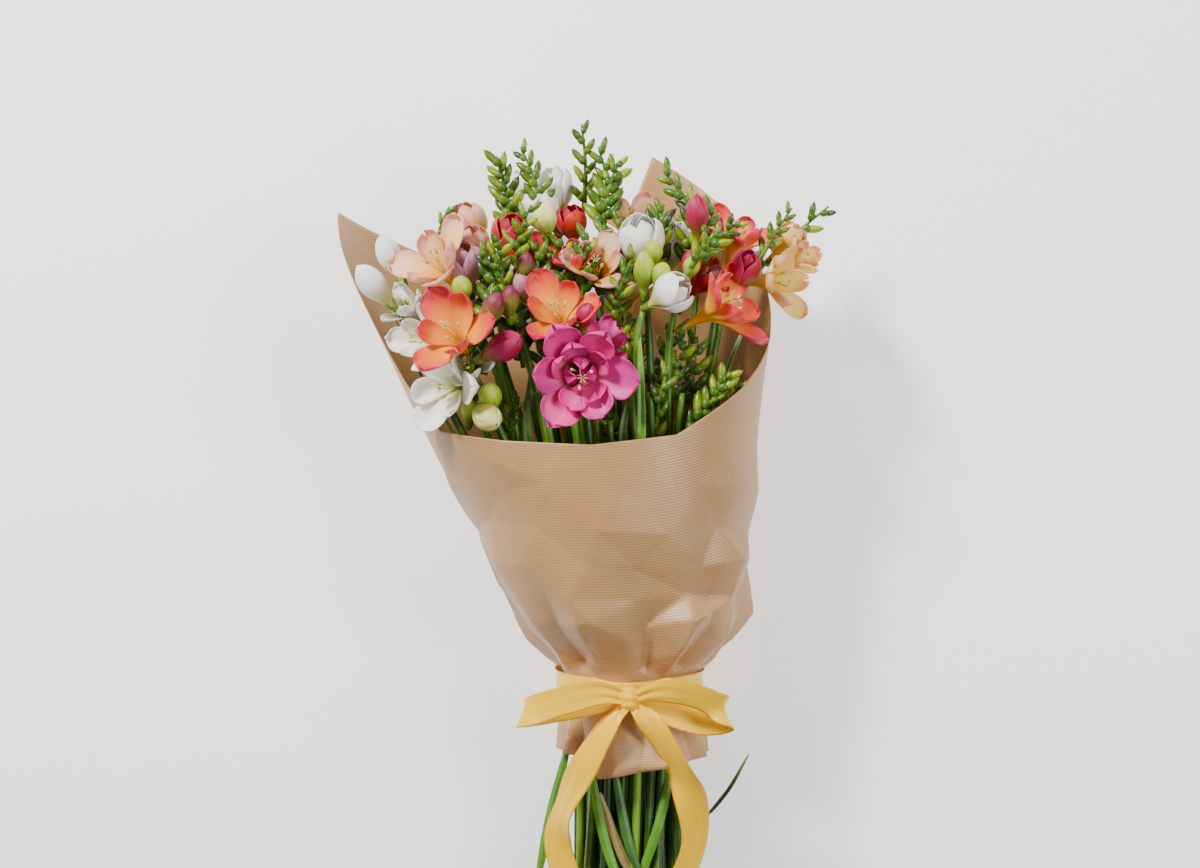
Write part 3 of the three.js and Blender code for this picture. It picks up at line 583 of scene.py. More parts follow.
def sheetPatch(sheet, lifted):
    # turn runs from the left edge to the right and length from bottom to rim, both on the section
    v = np.linspace(0, 1, sheet["rows"])[:, None]
    u = np.linspace(0, 1, sheet["columns"])[None, :]
    turn = linear(sheet["left"], v) * (1 - u) + linear(sheet["right"], v) * u
    rim, bottom = linear(sheet["rim"], turn), linear(sheet["bottom"], turn)
    first, last, start, end = sheetRows[0], sheetRows[-1], sheetLengths[0], sheetLengths[-1]
    y = np.interp(v, sheetRows, sheetLengths) + 0 * u
    y = np.where(v < first, bottom + (start - bottom) * v / first, y)
    y = np.where(v > last, end + (rim - end) * (v - last) / (1 - last), y)
    lowest = 0.0
    if lifted:  # eased in over 20 degrees before the front sheet's end
        lowest = wrap["lift"] * fade(0, 1, (turn - linear(wrap["frontEnd"], y) + 24) / 20)
    height = paperHeight(np.where(turn < 200, turn, turn - 360), y)
    points = sectionPoint(y, turn, sheet["offset"] + height, lowest)
    # unrolls the cone of paper, so that the ribs are straight lines on the flat sheet
    reach = (y - wrap["apex"]) * mm / math.sqrt(1 - wrap["coneSine"] ** 2)
    swing = np.radians(sheet["turned"] - turn) * wrap["coneSine"]
    uv = np.stack([reach * np.sin(swing), reach * np.cos(swing)], -1)
    return patch(fromTie(points), uv=uv)


def cutSize(paper):  # width, length and area of a sheet as it lies flat
    mesh = paper.data
    uv = np.empty(2 * len(mesh.loops), np.float32)
    mesh.uv_layers["flat"].data.foreach_get("uv", uv)
    uv = uv.reshape(-1, 4, 2).astype(float)
    ahead = np.roll(uv, -1, axis=1)
    area = abs((uv[..., 0] * ahead[..., 1] - uv[..., 1] * ahead[..., 0]).sum()) / 2
    return *np.ptp(uv.reshape(-1, 2), axis=0).tolist(), float(area)


wall = wrap["thickness"] * mm
frontPaper = piece("frontPaper", [sheetPatch(frontSheet, False)], [kraft], ["kraft_sheet_front"], wall)
backPaper = piece("backPaper", [sheetPatch(backSheet, True)], [kraft], ["kraft_sheet_back"], wall)
for paper, under in ((frontPaper, "kraft_sheet_back"), (backPaper, "kraft_sheet_front")):
    width, length, area = cutSize(paper)
    print(paper.name, "cut from", round(width, 3), "by", round(length, 3), "m, area", round(area, 4))
print("paper made")


ribbon = {  # mm from the tie; each course has the way across the ribbon at each of its points
    "width": 15, "thickness": 0.3,
    "leftLoop": [[-2, -2, 86], [-14, 1, 90], [-32, -2, 92], [-50, -8, 89], [-55, -10, 84], [-48, -9, 80],
                 [-24, -5, 81], [-2, -3, 82]],
    "leftLoopAcross": [[0.1, 1, 0], [0.1, 1, 0], [0.2, 1, 0], [0.4, 1, 0], [0.4, 1, 0], [0.4, 1, 0],
                       [0.1, 1, 0], [0.1, 1, 0]],
    "rightLoop": [[1, -2, 86], [14, 2, 91], [32, 0, 94], [46, -7, 91], [48, -12, 84], [38, -14, 79],
                  [18, -9, 81], [1, -3, 82]],
    "rightLoopAcross": [[-0.2, 1, 0.2], [-0.2, 1, 0.3], [-0.3, 1, 0.5], [-0.4, 1, 0.5], [-0.3, 1, 0.2],
                        [-0.1, 1, -0.2], [0.0, 1, -0.3], [-0.1, 1, -0.2]],
    "leftTail": [[-2, -4, 85], [-10, -13, 88], [-21, -32, 85], [-33, -56, 74], [-37, -78, 64],
                 [-30, -104, 60]],
    "leftTailAcross": [[1, 0.3, 0], [1, 1.0, 0.5], [1, 0.5, 0.8], [0.6, 0.2, 1.0], [1, 0.2, 0.5],
                       [1, -0.3, 0.1]],
    "rightTail": [[1, -4, 85], [9, -13, 88], [20, -30, 86], [30, -52, 77], [33, -76, 67], [23, -106, 64]],
    "rightTailAcross": [[1, -0.3, 0], [1, -0.7, 0.2], [1, -0.7, 0.1], [1, -0.2, -0.5], [1, 0.2, -0.6],
                        [1, 0.3, -0.2]],
    "bandStandsOff": 5.0, "bandRise": 5,  # over the paper's section, and higher at the back than the front
    "knot": [-1, -2, 84.8], "knotSize": [5.6, 6.6, 4.6],  # its middle, and half its size each way
}


def ribbonPatch(route, across, narrow, rows=70, cup=0.3, slant=0.0):
    # a strip carried along a curve, with its sides the given way; narrow is its width's share along it,
    # and where it is gathered its spare width stands up in ripples
    path = curveThrough(fromTie(route), rows)
    share = np.linspace(0, 1, rows)
    station = np.linspace(0, 1, len(route))
    side = np.stack([smooth(np.stack([station, a], 1), share) for a in np.array(across, float).T], 1)
    tangent, side, over = squared(path, side)
    u = np.linspace(-1, 1, 13)
    half = smooth(narrow, share) * ribbon["width"] / 2 * mm
    slack = 1 - smooth(narrow, share)
    points = path[:, None] + side[:, None] * (u[:, None] * half[:, None, None])
    ripple = cup * mm * (u**2)[None, :] + slack[:, None] * 1.6 * mm * np.cos(u * 7)[None, :]
    points = points + over[:, None] * ripple[..., None]
    points = points + tangent[:, None] * (slant * mm * u[:, None] * share[:, None, None] ** 12)
    length = np.linalg.norm(np.diff(path, axis=0), axis=1).sum()
    along = share[:, None].repeat(len(u), 1) * length * 10
    uv = np.stack([(u + 1)[None, :].repeat(rows, 0) / 2, along], -1)
    return patch(points, uv=uv), length


def bandPatch():
    # the band lies on the paper a little higher at the back, with two soft folds along it
    turn = np.linspace(450, 90, 121)[None, :-1]
    u = np.linspace(-1, 1, 11)[:, None]
    rise = ribbon["bandRise"] * (1 - np.sin(np.radians(turn))) * 0.5
    y = rise + u * ribbon["width"] / 2 * (1 - 0.25 * fade(0.86, 1, np.sin(np.radians(turn))))
    dent = 0.45 * np.cos(u * 5 + np.radians(turn) * 2)
    points = sectionPoint(y, turn, ribbon["bandStandsOff"] + dent)
    uv = np.stack(np.broadcast_arrays((u + 1) / 2, turn / 360 * 2.2), -1)
    middle = points[5]
    length = np.linalg.norm(np.roll(middle, -1, axis=0) - middle, axis=1).sum() * mm
    return patch(fromTie(points), uv=uv, wrap=True) | {"caps": [], "length": length}


def knotPatch():
    # ribbon pulled tight round the crossing: a crowned barrel with pinched ends and folds across it
    turn = np.linspace(0, 2 * math.pi, 40, endpoint=False)[None, :]
    v = np.linspace(-1, 1, 17)[:, None]
    swell = np.sqrt(np.maximum(1 - np.abs(v) ** 3, 0.02))
    fold = 1 + 0.07 * np.cos(6 * v * math.pi / 2 + np.sin(turn)) + 0.05 * np.sin(3 * turn)
    wide, tall, deep = ribbon["knotSize"]
    across, up = wide * swell * fold, deep * swell * fold
    points = np.stack([across * np.cos(turn), tall * v + 0 * turn, -up * np.sin(turn)], -1)
    return patch(fromTie(points + np.array(ribbon["knot"])), wrap=True)


# how much of its width the ribbon has along a loop, gathered at both ends, and along a tail
gathered = [[0, 0.42], [0.16, 0.85], [0.4, 1], [0.62, 1], [0.85, 0.85], [1, 0.42]]
loose = [[0, 0.42], [0.1, 0.8], [0.25, 1], [1, 1]]
strips = [
    ribbonPatch(ribbon["leftLoop"], ribbon["leftLoopAcross"], gathered),
    ribbonPatch(ribbon["rightLoop"], ribbon["rightLoopAcross"], gathered),
    ribbonPatch(ribbon["leftTail"], ribbon["leftTailAcross"], loose, slant=-6),
    ribbonPatch(ribbon["rightTail"], ribbon["rightTailAcross"], loose, slant=6),
]
bow = piece("ribbonBow", [s[0] for s in strips], [satin], ["ribbon_bow"], ribbon["thickness"] * mm)
bandSurface = bandPatch()
band = piece("ribbonBand", [bandSurface], [satin], ["ribbon_band"], ribbon["thickness"] * mm)
knot = piece("ribbonKnot", [knotPatch()], [satin])

bloomShapes = {  # shares of the mouth's radius, the bloom's length and a radian, by share of the petal
    "open": {
        "radius": [[0, 0.07], [0.25, 0.1], [0.42, 0.2], [0.56, 0.4], [0.72, 0.7], [0.88, 0.94], [1, 1.02]],
        "height": [[0, 0], [0.25, 0.32], [0.42, 0.52], [0.56, 0.66], [0.72, 0.8], [0.88, 0.92], [1, 0.97]],
        "spread": [[0, 0.62], [0.4, 0.6], [0.6, 0.62], [0.78, 0.6], [1, 0.54]],
        "tipFrom": 0.6, "curl": 0.10, "overlap": 0.0, "cupped": 1, "ruffle": 0.022,
    },
    "cup": {
        "radius": [[0, 0.14], [0.2, 0.22], [0.36, 0.6], [0.52, 0.9], [0.7, 0.98], [0.86, 0.88], [1, 0.62]],
        "height": [[0, 0], [0.2, 0.24], [0.36, 0.42], [0.52, 0.56], [0.7, 0.74], [0.86, 0.9], [1, 1.0]],
        "spread": [[0, 0.8], [0.4, 0.95], [0.7, 1.08], [1, 1.05]],
        "tipFrom": 0.6, "curl": 0.02, "overlap": 0.05, "cupped": 0, "ruffle": 0.008,
    },
    "bud": {
        "radius": [[0, 0.25], [0.25, 0.42], [0.45, 0.8], [0.62, 0.98], [0.78, 0.86], [0.92, 0.46], [1, 0.08]],
        "height": [[0, 0], [0.25, 0.27], [0.45, 0.45], [0.62, 0.62], [0.78, 0.8], [0.92, 0.94], [1, 1.0]],
        "spread": [[0, 1.2], [0.5, 1.25], [1, 1.35]],
        "tipFrom": 0.97, "curl": 0.02, "overlap": 0.05, "cupped": 0, "ruffle": 0.008,
    },
}
thirdTurn, sixthTurn, ringTurn = 2.094, 1.047, 6.283  # radians between petals, and round a ring of them
petalThickness = 0.35 * mm


def petalPatch(kind, turn, radius, length, dice, inner=0.0, scale=1.0, flare=0.0, part=0, size=(20, 13)):
    # a petal in polar form about the bloom's axis: v runs out and up it, and u across it from edge to edge.
    # Where it stands free its edges curl in or rise, and it ripples by a few waves of u; inner and scale
    # set it inside its neighbours, and flare opens it
    shape = bloomShapes[kind]
    rows, cols = size
    v = (1 - (1 - np.linspace(0, 1, rows)) ** 1.5)[:, None]
    u = np.linspace(-1, 1, cols)[None, :]
    free = fade(0.42, 1.0, v)  # how far this part of the petal stands free of its neighbours
    tip = np.clip((v - shape["tipFrom"]) / (1.0 - shape["tipFrom"]), 0, 1)
    narrowing = np.maximum(1 - tip**2.0, 0.012) ** 0.62 if kind != "bud" else 1.0
    spread = smooth(shape["spread"], v) * narrowing
    side = 1 if dice.random() < 0.5 else -1  # the edge that lies over its neighbour
    out = smooth(shape["radius"], v) * (1 + free * (scale - 1 + flare)) - inner * (0.03 + 0.05 * free)
    out = out * (1 - shape["curl"] * free * u**2) + shape["overlap"] * side * u * free
    up = smooth(shape["height"], v) + free * (scale - 1) * 0.5 - flare * 0.22 * free
    up = up + free * (0.05 + 0.04 * inner) * u**2 * shape["cupped"]
    wobble = dice.uniform(0, 6.28, 3)
    ruffle = shape["ruffle"]
    up = up + free * ruffle * np.sin(3.2 * u + wobble[0])
    up = up + free**2 * ruffle * 0.7 * np.sin(9 * u * v + wobble[1])
    out = out + free * ruffle * np.cos(2.3 * u + wobble[2])
    groove = 0.02 * np.exp(-((u / 0.13) ** 2)) * free  # along its middle
    angle = turn + spread * u + 0.12 * dice.uniform(-1, 1) * free
    out, up = np.maximum(out, 0.02) * radius, (up - groove) * length
    points = np.stack([out * np.cos(angle), out * np.sin(angle), up + 0 * u], -1)
    return patch(points, shade=dice.random(), part=part)


def ballPatch(centre, axis, radius, length, sides=8, rows=7, shade=0.5, part=0):
    # an egg about its own axis: its radius is the root of 1 - t squared, for t from -1 to 1 along it
    t = np.linspace(-1, 1, rows)
    reach = radius * np.sqrt(np.maximum(1 - t**2, 0.03))
    return tubePatch(centre + np.outer(t * length / 2, axis), reach, sides, shade, part)


stamenSizes = {"thread": 0.32, "anther": 0.75, "antherLength": 6, "style": 0.3, "branch": 0.22}  # mm


def stamens(radius, length, part):
    # three threads, each a tube on a curve with an egg on its end, round a style with six branches
    made = []
    for k in range(3):
        turn = 2.1 * k + 0.4
        way = np.array([math.cos(turn), math.sin(turn), 0])
        path = curveThrough([[0, 0, 0.45 * length], way * 0.08 * radius + [0, 0, 0.66 * length],
                             way * 0.2 * radius + [0, 0, 0.86 * length]], 7)
        made.append(tubePatch(path, stamenSizes["thread"] * mm, 6, 0.5, part))
        made.append(ballPatch(path[-1], unit(way * 0.3 + [0, 0, 1]), stamenSizes["anther"] * mm,
                              stamenSizes["antherLength"] * mm, 8, 7, 0.9, part))
    style = curveThrough([[0, 0, 0.45 * length], [0, 0, 0.75 * length],
                          [0, 0.03 * radius, 0.93 * length]], 7)
    made.append(tubePatch(style, stamenSizes["style"] * mm, 6, 0.7, part))
    for k in range(6):
        way = np.array([math.cos(k * 1.05), math.sin(k * 1.05), 1.1])
        branch = curveThrough([style[-1], style[-1] + way * 1.4 * mm, style[-1] + way * 2.2 * mm], 5)
        made.append(tubePatch(branch, stamenSizes["branch"] * mm, 5, 0.9, part))
    return made


def calyxPatch(radius, length, dice):
    # two green bracts round the tube's foot: a cup whose rim rises and falls twice round it
    turn = np.linspace(0, 2 * math.pi, 22, endpoint=False)[None, :]
    v = np.linspace(0, 1, 7)[:, None]
    tall = (0.2 + 0.07 * np.cos(2 * turn + dice.uniform(0, 6))) * length
    reach = (radius + 0.5 * mm) * (0.55 + 0.45 * np.sin(v * 1.4)) * (1 + 0.05 * np.cos(4 * turn))
    return patch(np.stack([reach * np.cos(turn), reach * np.sin(turn), tall * v - 0.4 * mm], -1), wrap=True)


def bloomPatches(kind, radius, length, dice):
    # rings of three petals for each kind of bloom, in the bloom's own axes; a double has three more rings
    if kind == "bud":
        return [petalPatch("bud", thirdTurn * k, radius * (1 - 0.02 * k), length, dice, size=(18, 17))
                for k in range(3)]
    if kind == "cup":
        outer = [petalPatch("cup", thirdTurn * k, radius, length, dice) for k in range(3)]
        inner = [petalPatch("cup", thirdTurn * k + sixthTurn, radius * 0.93, length * 0.96, dice, 1, 1, -0.32)
                 for k in range(3)]
        return outer + inner
    outer = [petalPatch("open", thirdTurn * k, radius, length, dice, 0, dice.uniform(0.98, 1.06),
                        dice.uniform(0.0, 0.16)) for k in range(3)]
    fuller = 0.12 if kind == "double" else 0.0
    inner = [petalPatch("open", thirdTurn * k + sixthTurn, radius, length, dice, 1,
                        fuller + dice.uniform(0.84, 0.95), fuller + dice.uniform(-0.22, 0.0))
             for k in range(3)]
    if kind == "double":
        for ring, (count, size, lean) in enumerate([(5, 0.78, -0.08), (4, 0.56, -0.2), (3, 0.42, -0.3)]):
            inner += [petalPatch("open", ringTurn * k / count + ring * 0.7 + dice.uniform(-0.2, 0.2), radius,
                                 length, dice, 1.6 + ring, size * dice.uniform(0.92, 1.08),
                                 lean + dice.uniform(-0.08, 0.08)) for k in range(count)]
    return outer + inner


blooms = {  # CAD node: (kind of bloom, petal paint)
    "pink_double_bloom": ("double", "pink"), "pink_bloom_behind": ("open", "pink"),
    "magenta_bud": ("bud", "magenta"), "coral_bloom_left": ("open", "coral"),
    "crimson_bud": ("bud", "plum"), "coral_bloom_middle": ("open", "coral"),
    "dusty_pink_bloom": ("cup", "dusty"), "coral_bloom_right": ("open", "coral"),
    "coral_bloom_top": ("open", "coral"), "magenta_bud_top": ("bud", "magenta"),
    "peach_bloom_left": ("open", "peach"), "peach_goblet": ("cup", "peach"),
    "crimson_bloom": ("cup", "crimson"), "coral_bloom_back": ("open", "coral"),
    "crimson_bloom_back": ("cup", "crimson"), "peach_bloom_middle": ("open", "peach"),
    "pale_pink_bloom": ("open", "peach"), "white_goblet_front": ("cup", "white"),
    "white_goblet_behind": ("cup", "white"), "white_bud_right": ("cup", "white"),
    "green_bud_large": ("bud", "lime"), "white_goblet_top": ("cup", "white"),
    "white_goblet_left": ("cup", "white"), "peach_bloom_low": ("cup", "peach"),
    "white_bud_outer": ("bud", "white"), "white_bud_upper": ("bud", "white"),
    "white_bloom_low": ("open", "white"), "cream_bud_low": ("bud", "cream"),
    "white_bloom_left": ("open", "white"), "peach_bloom_right": ("open", "yellow"),
    "yellow_pink_bloom": ("cup", "yellow"), "coral_bloom_low": ("open", "coral"),
}
tubeShares = {"double": 0.09, "open": 0.09, "cup": 0.2, "bud": 0.36}  # the tube's share of the mouth's radius


def moved(patches, place):  # from a bloom's own axes to its place in the frame
    axes = place["foot"], place["axis"], place["roll"]
    return [p | {"points": placed(p["points"], *axes)} for p in patches]


def makeBloom(name, kind, paint, place, replaced=()):
    # the petals are one piece, and the calyx and the stamens another; the name seeds the draws
    dice = np.random.default_rng(sum(name.encode()))
    petalSet = moved(bloomPatches(kind, place["radius"], place["length"], dice), place)
    made = piece(name + "_petals", petalSet, [petals[paint]], replaced, petalThickness)
    middle = [calyxPatch(tubeShares[kind] * place["radius"], place["length"], dice)]
    if kind in ("open", "double"):
        middle += stamens(place["radius"], place["length"], 1)
    piece(name + "_middle", moved(middle, place), [greens["calyx"], petals["cream"]])


for name, (kind, paint) in blooms.items():
    makeBloom(name, kind, paint, bloomPlace(name), [name])
print("blooms made", len(blooms))


def smallBud(seat, facing, roll, length, dice, dark):
    # a plump bud and a bract round its foot: two tubes with swelling radii, along its own lean
    side = unit(np.cross(facing, roll))
    lean = unit(facing + side * dice.uniform(-0.2, 0.2) + roll * dice.uniform(-0.15, 0.15))
    t = np.linspace(0, 1, 7)
    body = smooth([[0, 0.3], [0.25, 0.75], [0.55, 1], [0.8, 0.8], [1, 0.12]], t) * 0.185 * length
    bend = seat + np.outer(t * length, lean) + np.outer(np.sin(t * 1.6) * 0.06 * length, roll)
    made = [tubePatch(bend, body, 7, dice.random(), 1 if dark else 0)]
    t = np.linspace(0, 1, 4)
    bract = smooth([[0, 0.35], [0.3, 0.9], [0.8, 0.95], [1, 0.9]], t) * 0.215 * length
    made.append(tubePatch(seat + np.outer(t * 0.42 * length, lean), bract, 7, dice.uniform(0, 0.4), 2))
    return made


def combPatches(route, count, largest, dice, start=1.6 * mm):
    # two ranks of buds in turn along a bent stalk, smaller and closer to its line towards its tip
    steps = 24
    path = curveThrough(route, steps)
    tangent, across = sideways(path)
    other = np.cross(tangent, across)
    made = [tubePatch(path, np.linspace(start, 0.5 * mm, steps), 8, 0.4, 2)]
    for k in range(count):
        share = 0.06 + 0.9 * (k + 0.4) / count
        at = share * (steps - 1)
        low = int(at)
        seat = path[low] + (path[min(low + 1, steps - 1)] - path[low]) * (at - low)
        side = 1 if k % 2 else -1
        out = unit(across[low] * side + other[low] * dice.uniform(-0.3, 1.0))
        length = largest * (1.12 - 0.45 * share) * dice.uniform(0.85, 1.12)
        facing = unit(tangent[low] * 1.05 + out * (0.95 - 0.4 * share))
        made += smallBud(seat, facing, out, length, dice, dice.random() < 0.35)
    return made


combSkins = [greens["bud"], greens["darkBud"], greens["calyx"]]
combCounts = {  # number of buds, and the largest one's length in mm
    "stem_02": (9, 14), "stem_04": (8, 11.5), "stem_07": (11, 15), "stem_09": (10, 14.5), "stem_12": (8, 12),
    "stem_16": (8, 13.5), "stem_17": (8, 13), "stem_18": (9, 13.5), "stem_19": (10, 14),
}
stemRadius = [[0, 2.5], [0.45, 2.3], [0.8, 2.0], [1, 1.5]]  # mm, by share of the stem
stems = [f"stem_{k:02d}" for k in range(1, 20)]
stemAt = {name: stemPlace(name) for name in stems}
for number, name in enumerate(stems):
    line, rest = stemAt[name]
    dice = np.random.default_rng(40 + number)
    route = curveThrough(line, 60)
    radius = smooth(stemRadius, np.linspace(0, 1, 60)) * mm
    skin = tubePatch(route, radius, 12, dice.uniform(0, 0.6), 0, 0.03)
    stem = piece(name + "_skin", [skin], [greens["stem"]], [name])
    if name in combCounts and len(rest):
        tip = rest[np.argmax(((rest - line[-1]) ** 2).sum(1))]
        middle = rest.mean(0)
        count, largest = combCounts[name]
        route = [line[-1], middle, tip - (tip - middle) * 0.12]
        comb = piece(name + "_buds", combPatches(route, count, largest * mm, dice), combSkins)
print("stems made", len(stems))

# sprigs of buds among the blooms: from foot to tip in mm from the tie, number of buds, largest in mm
sprigs = {
    "sprigMiddle": ([[-6, 186, 84], [-5, 204, 102], [2, 222, 110]], 9, 12),
    "sprigLeftTop": ([[-96, 214, 62], [-98, 232, 70], [-92, 247, 74]], 6, 10),
    "sprigLeft": ([[-84, 150, 84], [-80, 168, 96], [-76, 182, 100]], 6, 11),
    "sprigBehindCoral": ([[-58, 214, 84], [-56, 230, 92], [-50, 246, 96]], 8, 11.5),
    "sprigTopLeft": ([[-50, 240, 60], [-48, 258, 64], [-56, 278, 66]], 10, 12),
    "sprigTop": ([[-14, 240, 62], [-12, 260, 64], [-16, 278, 66]], 8, 12),
    "sprigRight": ([[66, 220, 70], [74, 234, 74], [82, 246, 76]], 7, 10),
    "sprigLow": ([[-4, 122, 74], [-10, 136, 84], [-12, 148, 88]], 8, 10),
    "sprigLowLeft": ([[-58, 122, 76], [-60, 136, 84], [-56, 150, 88]], 7, 10),
    "sprigLowRight": ([[42, 126, 70], [50, 142, 76], [56, 158, 78]], 8, 11),
    "sprigCentre": ([[-60, 192, 84], [-64, 208, 96], [-76, 222, 104]], 8, 11),
}
fan = {"count": 30, "middle": -22, "halfWidth": 62, "low": 138, "tall": 76, "height": 66, "halfDepth": 16,
       "buds": 7, "largest": 14}
for k in range(fan["count"]):  # and a fan of them through the mouth, deeper in, evenly spread by golden angle
    turn, share, height = goldenAngle * k, math.sqrt((k + 0.5) / fan["count"]), (k * 0.618034) % 1
    foot = np.array([fan["middle"] + fan["halfWidth"] * share * math.cos(turn),
                     fan["low"] + fan["tall"] * height,
                     fan["height"] + fan["halfDepth"] * share * math.sin(turn)])
    way = np.array([0.2 * (foot[0] - fan["middle"]) / fan["halfWidth"] + 0.1 * math.sin(5 * k), 1,
                    0.35 + 0.2 * math.cos(3 * k)])
    sprigs[f"sprigDeep_{k + 1:02d}"] = ([foot, foot + way * 20, foot + way * [46, 38, 22]], fan["buds"],
                                        fan["largest"])
for number, (name, (route, count, largest)) in enumerate(sprigs.items()):
    dice = np.random.default_rng(200 + number)
    sprig = piece(name, combPatches(fromTie(route), count, largest * mm, dice, 1.3 * mm), combSkins)

looseBuds = {  # tip, facing, radius, length, paint
    "limeBudRight": ([17, 216, 108], [0.3, 0.9, 0.3], 5.0, 17, "lime"),
    "limeBudRightLow": ([23, 212, 98], [0.5, 0.8, 0.3], 4.8, 16, "lime"),
    "limeBudUpper": ([12, 228, 100], [0.1, 0.95, 0.3], 4.6, 16, "lime"),
    "limeBudFar": ([32, 220, 96], [0.3, 0.9, 0.4], 4.2, 15, "lime"),
    "limeBudLeft": ([-86, 209, 106], [-0.2, 0.7, 0.6], 5.5, 18, "lime"),
    "limeBudLow": ([-71, 156, 104], [-0.1, 0.8, 0.6], 6.0, 20, "lime"),
    "limeBudLower": ([-80, 148, 96], [0.1, 0.9, 0.5], 4.6, 16, "lime"),
    "plumBudMiddle": ([-52, 222, 98], [0.1, 0.95, 0.4], 4.2, 19, "plum"),
    "plumBudLeft": ([-60, 205, 108], [0.0, 0.95, 0.3], 4.6, 20, "plum"),
    "plumBudRight": ([44, 216, 92], [0.2, 0.9, 0.4], 4.4, 18, "plum"),
    "crimsonBudRight": ([32, 224, 90], [0.2, 0.9, 0.4], 5.2, 20, "crimson"),
    "magentaBudMiddle": ([-21, 196, 112], [0.2, 0.8, 0.5], 5.2, 18, "magenta"),
    "creamBudTop": ([-44, 248, 82], [-0.1, 0.95, 0.3], 6.0, 22, "cream"),
}
fillerBlooms = {  # tip, facing, radius, length, kind, paint
    "coralHalfMiddle": ([-28, 224, 90], [-0.1, 0.8, 0.6], 11, 30, "open", "coral"),
    "coralHalfRight": ([40, 214, 84], [0.5, 0.7, 0.5], 13, 30, "open", "crimson"),
    "peachHalfMiddle": ([2, 212, 86], [0.1, 0.8, 0.6], 14, 30, "open", "peach"),
    "peachHalfLeft": ([-86, 226, 84], [-0.2, 0.9, 0.5], 11, 30, "cup", "dusty"),
    "whiteHalfLeft": ([-118, 200, 74], [-0.6, 0.5, 0.6], 13, 30, "open", "white"),
    "whiteHalfLow": ([-82, 168, 98], [-0.3, 0.2, 0.9], 13, 28, "open", "white"),
    "whiteHalfTop": ([-48, 256, 60], [-0.2, 0.95, 0.3], 10, 30, "cup", "white"),
    "magentaHalf": ([60, 222, 88], [0.3, 0.85, 0.5], 8, 26, "cup", "magenta"),
    "crimsonHalf": ([-56, 232, 84], [-0.1, 0.9, 0.4], 9, 27, "cup", "crimson"),
    "yellowHalf": ([92, 224, 66], [0.8, 0.5, 0.4], 12, 30, "open", "yellow"),
}


def makeLoose(name, tipAt, facing, radius, length, kind, paint, roll):
    # a bloom between the main ones, with its foot its own length behind its tip
    axis = unit(np.array(facing, float))
    place = {"foot": fromTie(tipAt) - axis * length * mm, "axis": axis, "roll": np.array(roll),
             "length": length * mm, "radius": radius * mm}
    makeBloom(name, kind, paint, place)


for name, spec in fillerBlooms.items():
    makeLoose(name, *spec, roll=[0.8, 0.1, 0.6])
for name, (*spec, paint) in looseBuds.items():
    makeLoose(name, *spec, "bud", paint, roll=[1.0, 0.2, 0])
print("sprigs made")


bundle = {  # stems between those of the frame, in mm
    "count": 30, "low": -128, "high": 192, "step": 14, "radius": 26, "apart": 4.9, "room": 27, "floor": 3.6,
    "rounds": 160,
}


def fillerStems():
    # they start evenly spread about the middle of the known stems, and each round pushes apart every two
    # that are too near, evens their bends, and brings them back inside the paper and over the floor
    count, radius = bundle["count"], bundle["radius"] * mm
    lengths = np.arange(bundle["low"], bundle["high"], bundle["step"]) * mm + tie[1]
    lines = [stemAt[name][0] for name in stems]
    known = np.stack([[np.interp(lengths, line[:, 1], line[:, k]) for k in (0, 2)] for line in lines])
    known = known.transpose(0, 2, 1)
    turn = np.arange(count) * goldenAngle + 0.7
    reach = radius * np.sqrt((np.arange(count) + 0.5) / count)
    centre = known.mean(0)
    spread = np.linalg.norm(known - centre, axis=-1).max(0) / radius
    swing = 0.5 * np.clip((lengths - tie[1]) / (bundle["low"] * mm), 0, 1)  # below the tie they cross over
    angle = turn[:, None] + swing[None, :]
    around = np.stack([np.cos(angle), np.sin(angle)], -1)
    filler = centre + (reach[:, None] * spread)[..., None] * around
    above = np.clip(lengths - tie[1] - 20 * mm, 0, 1)
    room = np.stack([bundle["room"] * mm + 0.3 * above, bundle["room"] * mm + 0.04 * above], -1)
    for _ in range(bundle["rounds"]):
        everyone = np.concatenate([filler, known])
        gap = filler[:, None] - everyone[None]
        far = np.linalg.norm(gap, axis=-1) + 1e-9
        far[np.arange(count), np.arange(count)] = 1.0  # no stem is pushed away from itself
        push = np.maximum(bundle["apart"] * mm - far, 0)[..., None] * gap / far[..., None]
        filler = filler + 0.45 * push.sum(1)
        filler[:, 1:-1] += 0.2 * ((filler[:, 2:] + filler[:, :-2]) / 2 - filler[:, 1:-1])
        away = filler - centre
        span = np.linalg.norm(away / room, axis=-1, keepdims=True)
        filler = centre + away * np.minimum(1, 1 / np.maximum(span, 1e-6))
        filler[..., 1] = np.maximum(filler[..., 1], bundle["floor"] * mm)
    return [np.stack([f[:, 0], lengths, f[:, 1]], 1) for f in filler]


for number, line in enumerate(fillerStems()):
    dice = np.random.default_rng(70 + number)
    line = line[: len(line) - int(dice.integers(0, 4))]
    line[0, 1] += dice.uniform(0, 5) * mm
    radius = np.linspace(2.3, 1.7, 50) * dice.uniform(0.85, 1.05) * mm
    skin = tubePatch(curveThrough(line, 50), radius, 10, dice.uniform(0, 1.1) ** 1.4, 0, 0.03)
    stem = piece(f"fillerStem_{number + 1:02d}", [skin], [greens["stem"]])
print("bundle filled")

